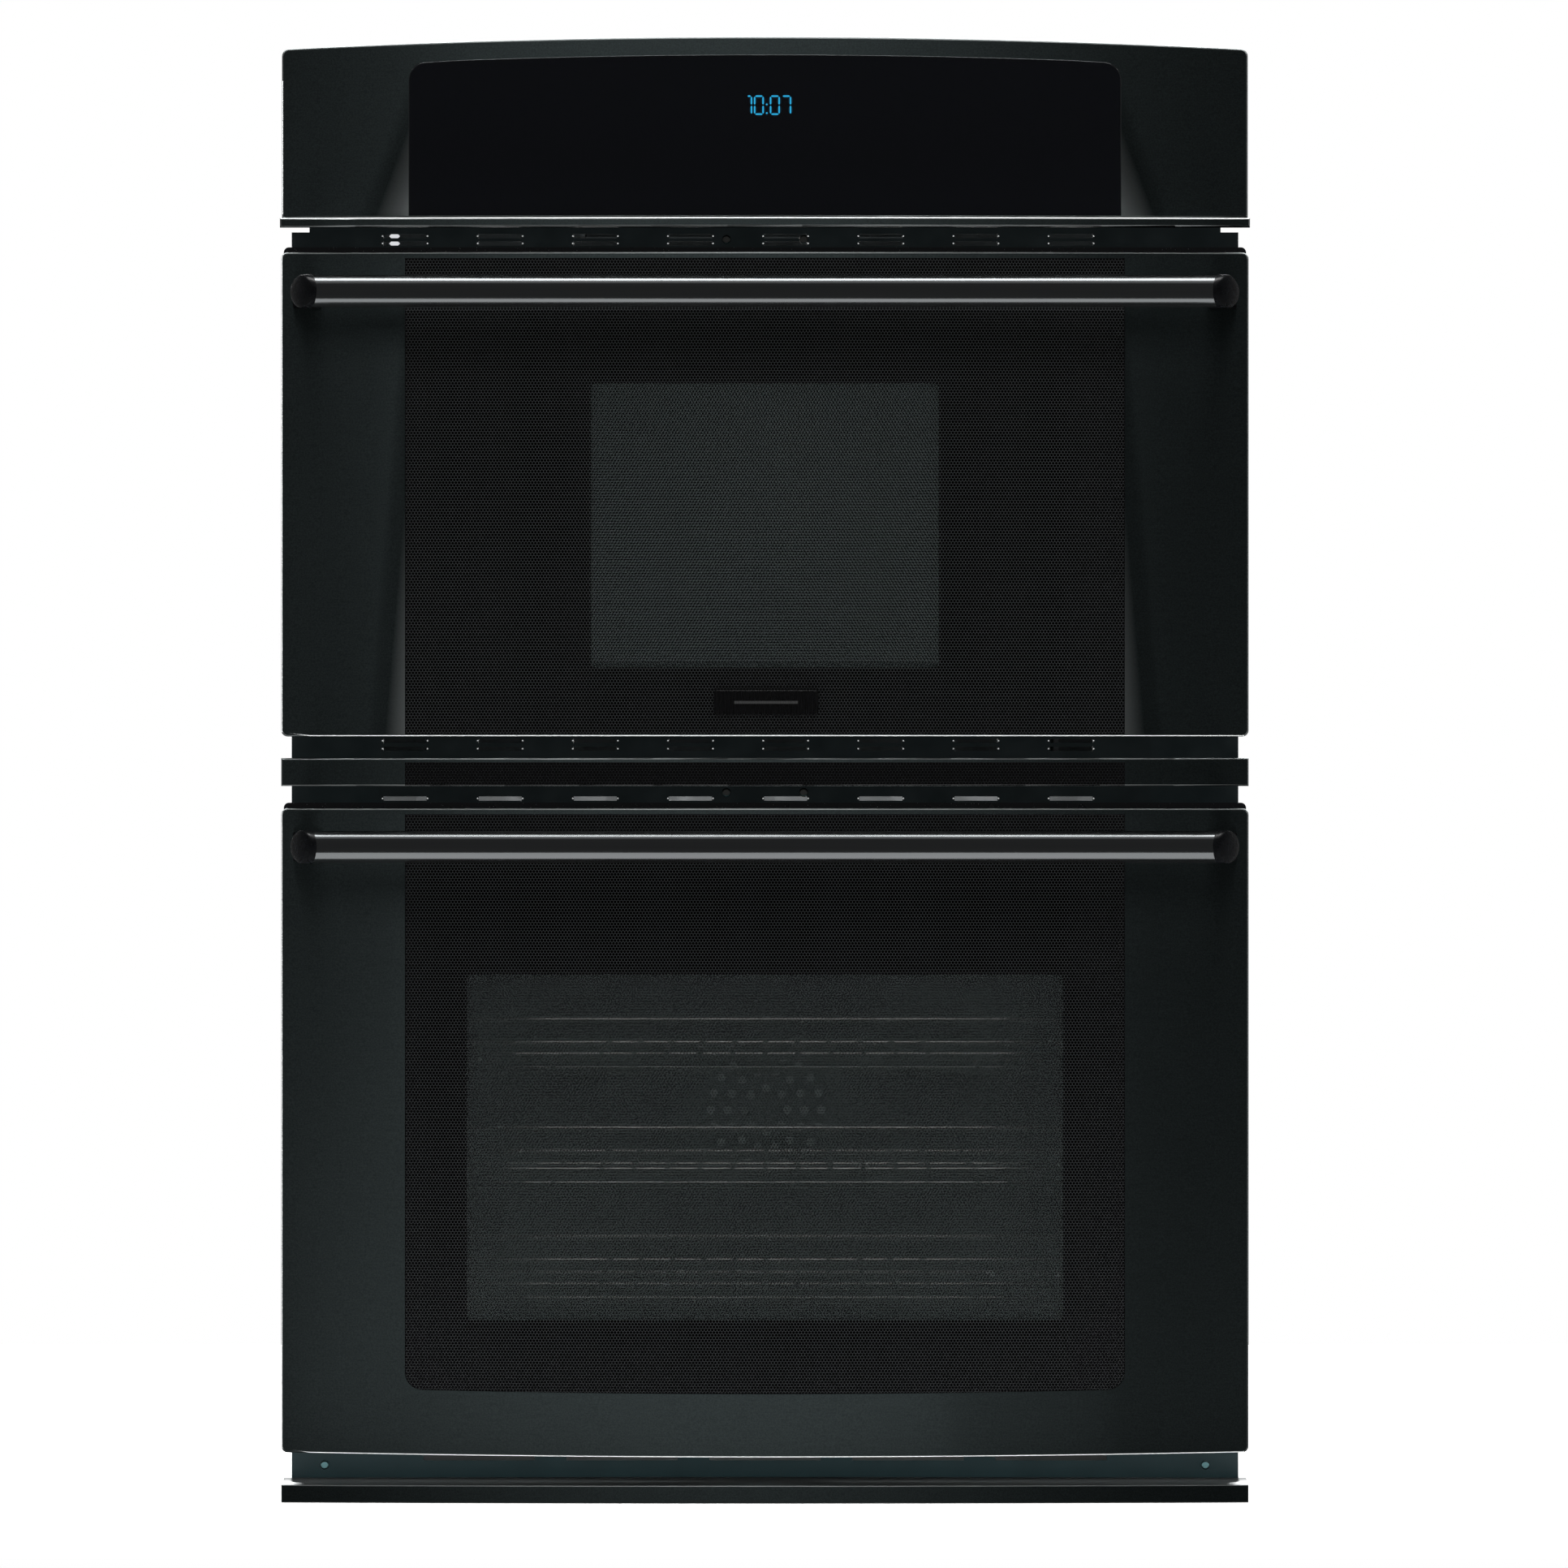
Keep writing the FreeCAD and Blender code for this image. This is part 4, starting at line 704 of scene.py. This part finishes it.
def digit_strokes(digit, left, right):
    """Start and end points of the lit segments of one digit."""
    h = STROKE / 2
    x0, x1 = left + h, right - h
    z0, z2 = CLOCK_LOW + h, CLOCK_HIGH - h
    z1 = (z0 + z2) / 2
    g = DIGIT_GAP
    ends = {
        "a": ((x0 + g, z2), (x1 - g, z2)),
        "b": ((x1, z2 - g), (x1, z1 + g)),
        "c": ((x1, z1 - g), (x1, z0 + g)),
        "d": ((x0 + g, z0), (x1 - g, z0)),
        "e": ((x0, z1 - g), (x0, z0 + g)),
        "f": ((x0, z2 - g), (x0, z1 + g)),
    }
    return [ends[s] for s in SEGMENTS[digit]]


def clock_strokes():
    """Every stroke of the time: three digits, the leading one and the colon."""
    strokes = []
    for digit, left, right in CLOCK:
        strokes += digit_strokes(digit, left, right)
    strokes += digit_strokes("1", *CLOCK_ONE)
    strokes.append(tuple((x, CLOCK_HIGH - STROKE / 2) for x in ONE_FLAG))
    for z in COLON_ROWS:
        strokes.append(tuple((x, z) for x in COLON_ENDS))
    return strokes


def clock():
    """The digits, and their glow behind them."""
    for name, material, extra, lift in (
        ("clock_digits", clock_blue(), 0.0, CLOCK_LIFT),
        ("clock_glow", clock_halo(), HALO_SPREAD, CLOCK_LIFT - HALO_BEHIND),
    ):
        bm = bmesh.new()
        for start, end in clock_strokes():
            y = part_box("control_glass")[0].y - lift
            stroke(bm, start, end, STROKE + extra, y, STROKE_DEPTH)
        mesh = bpy.data.meshes.new(name)
        bm.to_mesh(mesh)
        bm.free()
        add_piece(name, mesh, material, "root")


def glass_outline(half, low, high_corner, high_middle, radius, steps=8):
    """Points (x, z) up one side of the control glass, over its arched top and down the other."""
    right = [(half, low)]
    for i in range(steps + 1):
        a = math.radians(90 * i / steps)
        right.append((half - radius + radius * math.cos(a), high_corner - radius + radius * math.sin(a)))
    arch = []
    for i in range(1, ARCH_STEPS):
        x = (half - radius) * (1 - 2 * i / ARCH_STEPS)
        arch.append((x, high_corner + (high_middle - high_corner) * (1 - (x / half) ** 2)))
    return right + arch + [(-x, z) for x, z in reversed(right)]


def bead(name, outline, thickness, material, body, front):
    """A thin round bead that follows an outline on the bowed face."""
    curve = bpy.data.curves.new(name, "CURVE")
    curve.dimensions = "3D"
    curve.bevel_depth = thickness
    curve.bevel_resolution = 2
    spline = curve.splines.new("POLY")
    spline.points.add(len(outline) - 1)
    for point, (x, z) in zip(spline.points, outline):
        point.co = (x, face_y(x, front), z, 1.0)
    return add_piece(name, curve, material, body)


def control_bead():
    """The bead around the control glass."""
    low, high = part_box("control_glass")
    outline = glass_outline(high.x + BEAD_GAP, low.z, high.z - ARCH_DROP, high.z + BEAD_GAP, BEAD_CORNER)
    front = low.y + BEAD_SINK
    bead("control_glass_bead", outline, BEAD_RADIUS, polished_bead(), "root", front)


def hem(name, node, body, sag):
    """A painted highlight: a thin bright bead down the left edge of a door skin and along its lower edge."""
    low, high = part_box(node)
    half = high.x - HEM_INSET
    bottom = low.z + HEM_INSET
    outline = [(-half, high.z - HEM_CORNER), (-half, bottom + sag + HEM_CORNER)]
    for i in range(1, HEM_STEPS + 1):
        x = (half - HEM_CORNER) * (2 * i / HEM_STEPS - 1)
        outline.append((x, bottom + sag * (x / half) ** 2))
    bead(name, outline, HEM_RADIUS, painted_glint_steel(), body, BOW_FRONT + HEM_SET_BACK)


def hems():
    """The painted highlight beads of both doors, the lip and the left edge of the panel."""
    hem("lower_door_hem_glint", "lower_door_skin", "lower_door", LOWER_DOOR_SAG)
    hem("upper_door_hem_glint", "upper_door_skin", "upper_door", 0.0)
    low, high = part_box("control_lip")
    half = high.x - HEM_INSET
    outline = [(half * (2 * i / HEM_STEPS - 1), high.z - HEM_RADIUS) for i in range(HEM_STEPS + 1)]
    front = low.y + HEM_SET_BACK
    bead("control_lip_hem_glint", outline, LIP_HEM_RADIUS, painted_glint_steel(), "root", front)
    low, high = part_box("control_fascia")
    edge = low.x + HEM_INSET
    outline = [(edge, low.z + HEM_CORNER), (edge, low.z + PANEL_HEM_HEIGHT)]
    front = BOW_FRONT + HEM_SET_BACK
    bead("control_fascia_hem_glint", outline, PANEL_HEM_RADIUS, painted_glint_steel(), "root", front)


def dome(bm, x, y, z, radius, rings=3, sides=10):
    """A small dome standing on a plane of constant y, towards the front."""
    rows = []
    for i in range(rings):
        a = math.pi / 2 * i / rings
        r, lift = radius * math.cos(a), radius * DOME_RISE * math.sin(a)
        turns = [2 * math.pi * k / sides for k in range(sides)]
        rows.append([bm.verts.new((x + r * math.cos(t), y - lift, z + r * math.sin(t))) for t in turns])
    top = bm.verts.new((x, y - radius * DOME_RISE, z))
    for first, second in zip(rows, rows[1:]):
        for k in range(sides):
            m = (k + 1) % sides
            bm.faces.new((first[k], first[m], second[m], second[k]))
    for k in range(sides):
        bm.faces.new((rows[-1][k], rows[-1][(k + 1) % sides], top))
    bm.faces.new(list(reversed(rows[0])))


def piece_from(bm, name, material, body, smooth=False):
    """Turn an edit mesh into a new piece."""
    mesh = bpy.data.meshes.new(name)
    bm.normal_update()
    bmesh.ops.recalc_face_normals(bm, faces=bm.faces)
    bm.to_mesh(mesh)
    bm.free()
    if smooth:
        mesh.polygons.foreach_set("use_smooth", [True] * len(mesh.polygons))
    return add_piece(name, mesh, material, body)


def slot_ticks():
    """Painted glints as bright domes at both ends of every pressed slot, and painted daylight glowing in the
    ends of the first ones.
    """
    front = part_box("frame_top_rail")[0].y
    for name, rows in (("top_slot_glints", TOP_SLOT_ROWS), ("center_slot_glints", CENTER_SLOT_ROWS)):
        bm = bmesh.new()
        for z in rows:
            for i in range(SLOT_COUNT):
                middle = SLOT_FIRST + SLOT_PITCH * i
                for x in (middle - SLOT_LENGTH / 2 - SLOT_GLINT_SIZE, middle + SLOT_LENGTH / 2 + SLOT_GLINT_SIZE):
                    dome(bm, x, front, z, SLOT_GLINT_SIZE)
        piece_from(bm, name, painted_glint_steel(), "root", True)
    # Painted daylight: glowing strips in the ends of the first slots
    bm = bmesh.new()
    for z in TOP_SLOT_ROWS:
        stroke(bm, (REVEAL_LEFT, z), (REVEAL_RIGHT, z), REVEAL_HEIGHT, front + REVEAL_INSET, REVEAL_DEPTH)
    piece_from(bm, "slot_painted_daylight", painted_daylight_white(), "root")


# ---------------------------------------------------------------- stage, light, camera


def stage():
    """A plain pale floor."""
    bm = bmesh.new()
    corners = [
        (-FLOOR_HALF, FLOOR_FRONT, 0.0), (FLOOR_HALF, FLOOR_FRONT, 0.0),
        (FLOOR_HALF, FLOOR_BACK, 0.0), (-FLOOR_HALF, FLOOR_BACK, 0.0),
    ]
    bm.faces.new([bm.verts.new(c) for c in corners])
    mesh = bpy.data.meshes.new("floor")
    bm.to_mesh(mesh)
    bm.free()
    floor = bpy.data.objects.new("floor", mesh)
    bpy.context.scene.collection.objects.link(floor)
    look = Look("floor_paint", Roughness=0.9)
    look.set("Base Color", look.mix(look.noise(2.0, 3.0), (0.86, 0.86, 0.86), (0.90, 0.90, 0.90)))
    floor.data.materials.append(look.material)
    floor.visible_glossy = False


def world():
    """White where the camera sees it, and dim as a light."""
    made = bpy.data.worlds.new("studio")
    made.use_nodes = True
    tree = made.node_tree
    back = tree.nodes["Background"]
    path = tree.nodes.new("ShaderNodeLightPath")
    mix = tree.nodes.new("ShaderNodeMapRange")
    mix.inputs["To Min"].default_value = WORLD_DIM
    mix.inputs["To Max"].default_value = WORLD_SEEN
    tree.links.new(path.outputs["Is Camera Ray"], mix.inputs["Value"])
    tree.links.new(mix.outputs[0], back.inputs["Strength"])
    back.inputs["Color"].default_value = (1.0, 1.0, 1.0, 1.0)
    bpy.context.scene.world = made


def area_light(name, place, target, size_x, size_y, power, color=WHITE):
    """A rectangular lamp that the camera does not see."""
    lamp = bpy.data.lights.new(name, "AREA")
    lamp.shape = "RECTANGLE"
    lamp.size = size_x
    lamp.size_y = size_y
    lamp.energy = power
    lamp.color = color
    made = bpy.data.objects.new(name, lamp)
    made.location = place
    aim = [t - p for t, p in zip(target, place)]
    made.rotation_euler = Vector(aim).to_track_quat("-Z", "Y").to_euler()
    made.visible_camera = False
    bpy.context.scene.collection.objects.link(made)
    return made


def lights():
    """The open lamps, and the cards that light only their own nodes."""
    for name, place, target, size_x, size_y, power in LIGHTS:
        area_light(name, place, target, size_x, size_y, power)
    for name, place, target, size_x, size_y, power, nodes, color in CARDS:
        card = area_light(name, place, target, size_x, size_y, power, color)
        lit = bpy.data.collections.new(name + "_receivers")
        for node in nodes:
            lit.objects.link(bpy.data.objects[node])
        card.light_linking.receiver_collection = lit
        if name in SHADOWLESS:
            blockers = bpy.data.collections.new(name + "_blockers")
            blockers.objects.link(bpy.data.objects["floor"])
            card.light_linking.blocker_collection = blockers


def camera():
    """A camera at the photo's viewing angle."""
    data = bpy.data.cameras.new("camera")
    data.lens = CAMERA_LENS
    data.sensor_width = CAMERA_SENSOR
    data.clip_end = CAMERA_CLIP
    made = bpy.data.objects.new("camera", data)
    made.location = (CAMERA_X, CAMERA_Y, CAMERA_Z)
    made.rotation_euler = (math.radians(90), 0.0, 0.0)
    bpy.context.scene.collection.objects.link(made)
    bpy.context.scene.camera = made


finish_cad()
clock()
control_bead()
hems()
slot_ticks()
stage()
world()
lights()
camera()
bpy.context.scene.view_settings.view_transform = "Standard"
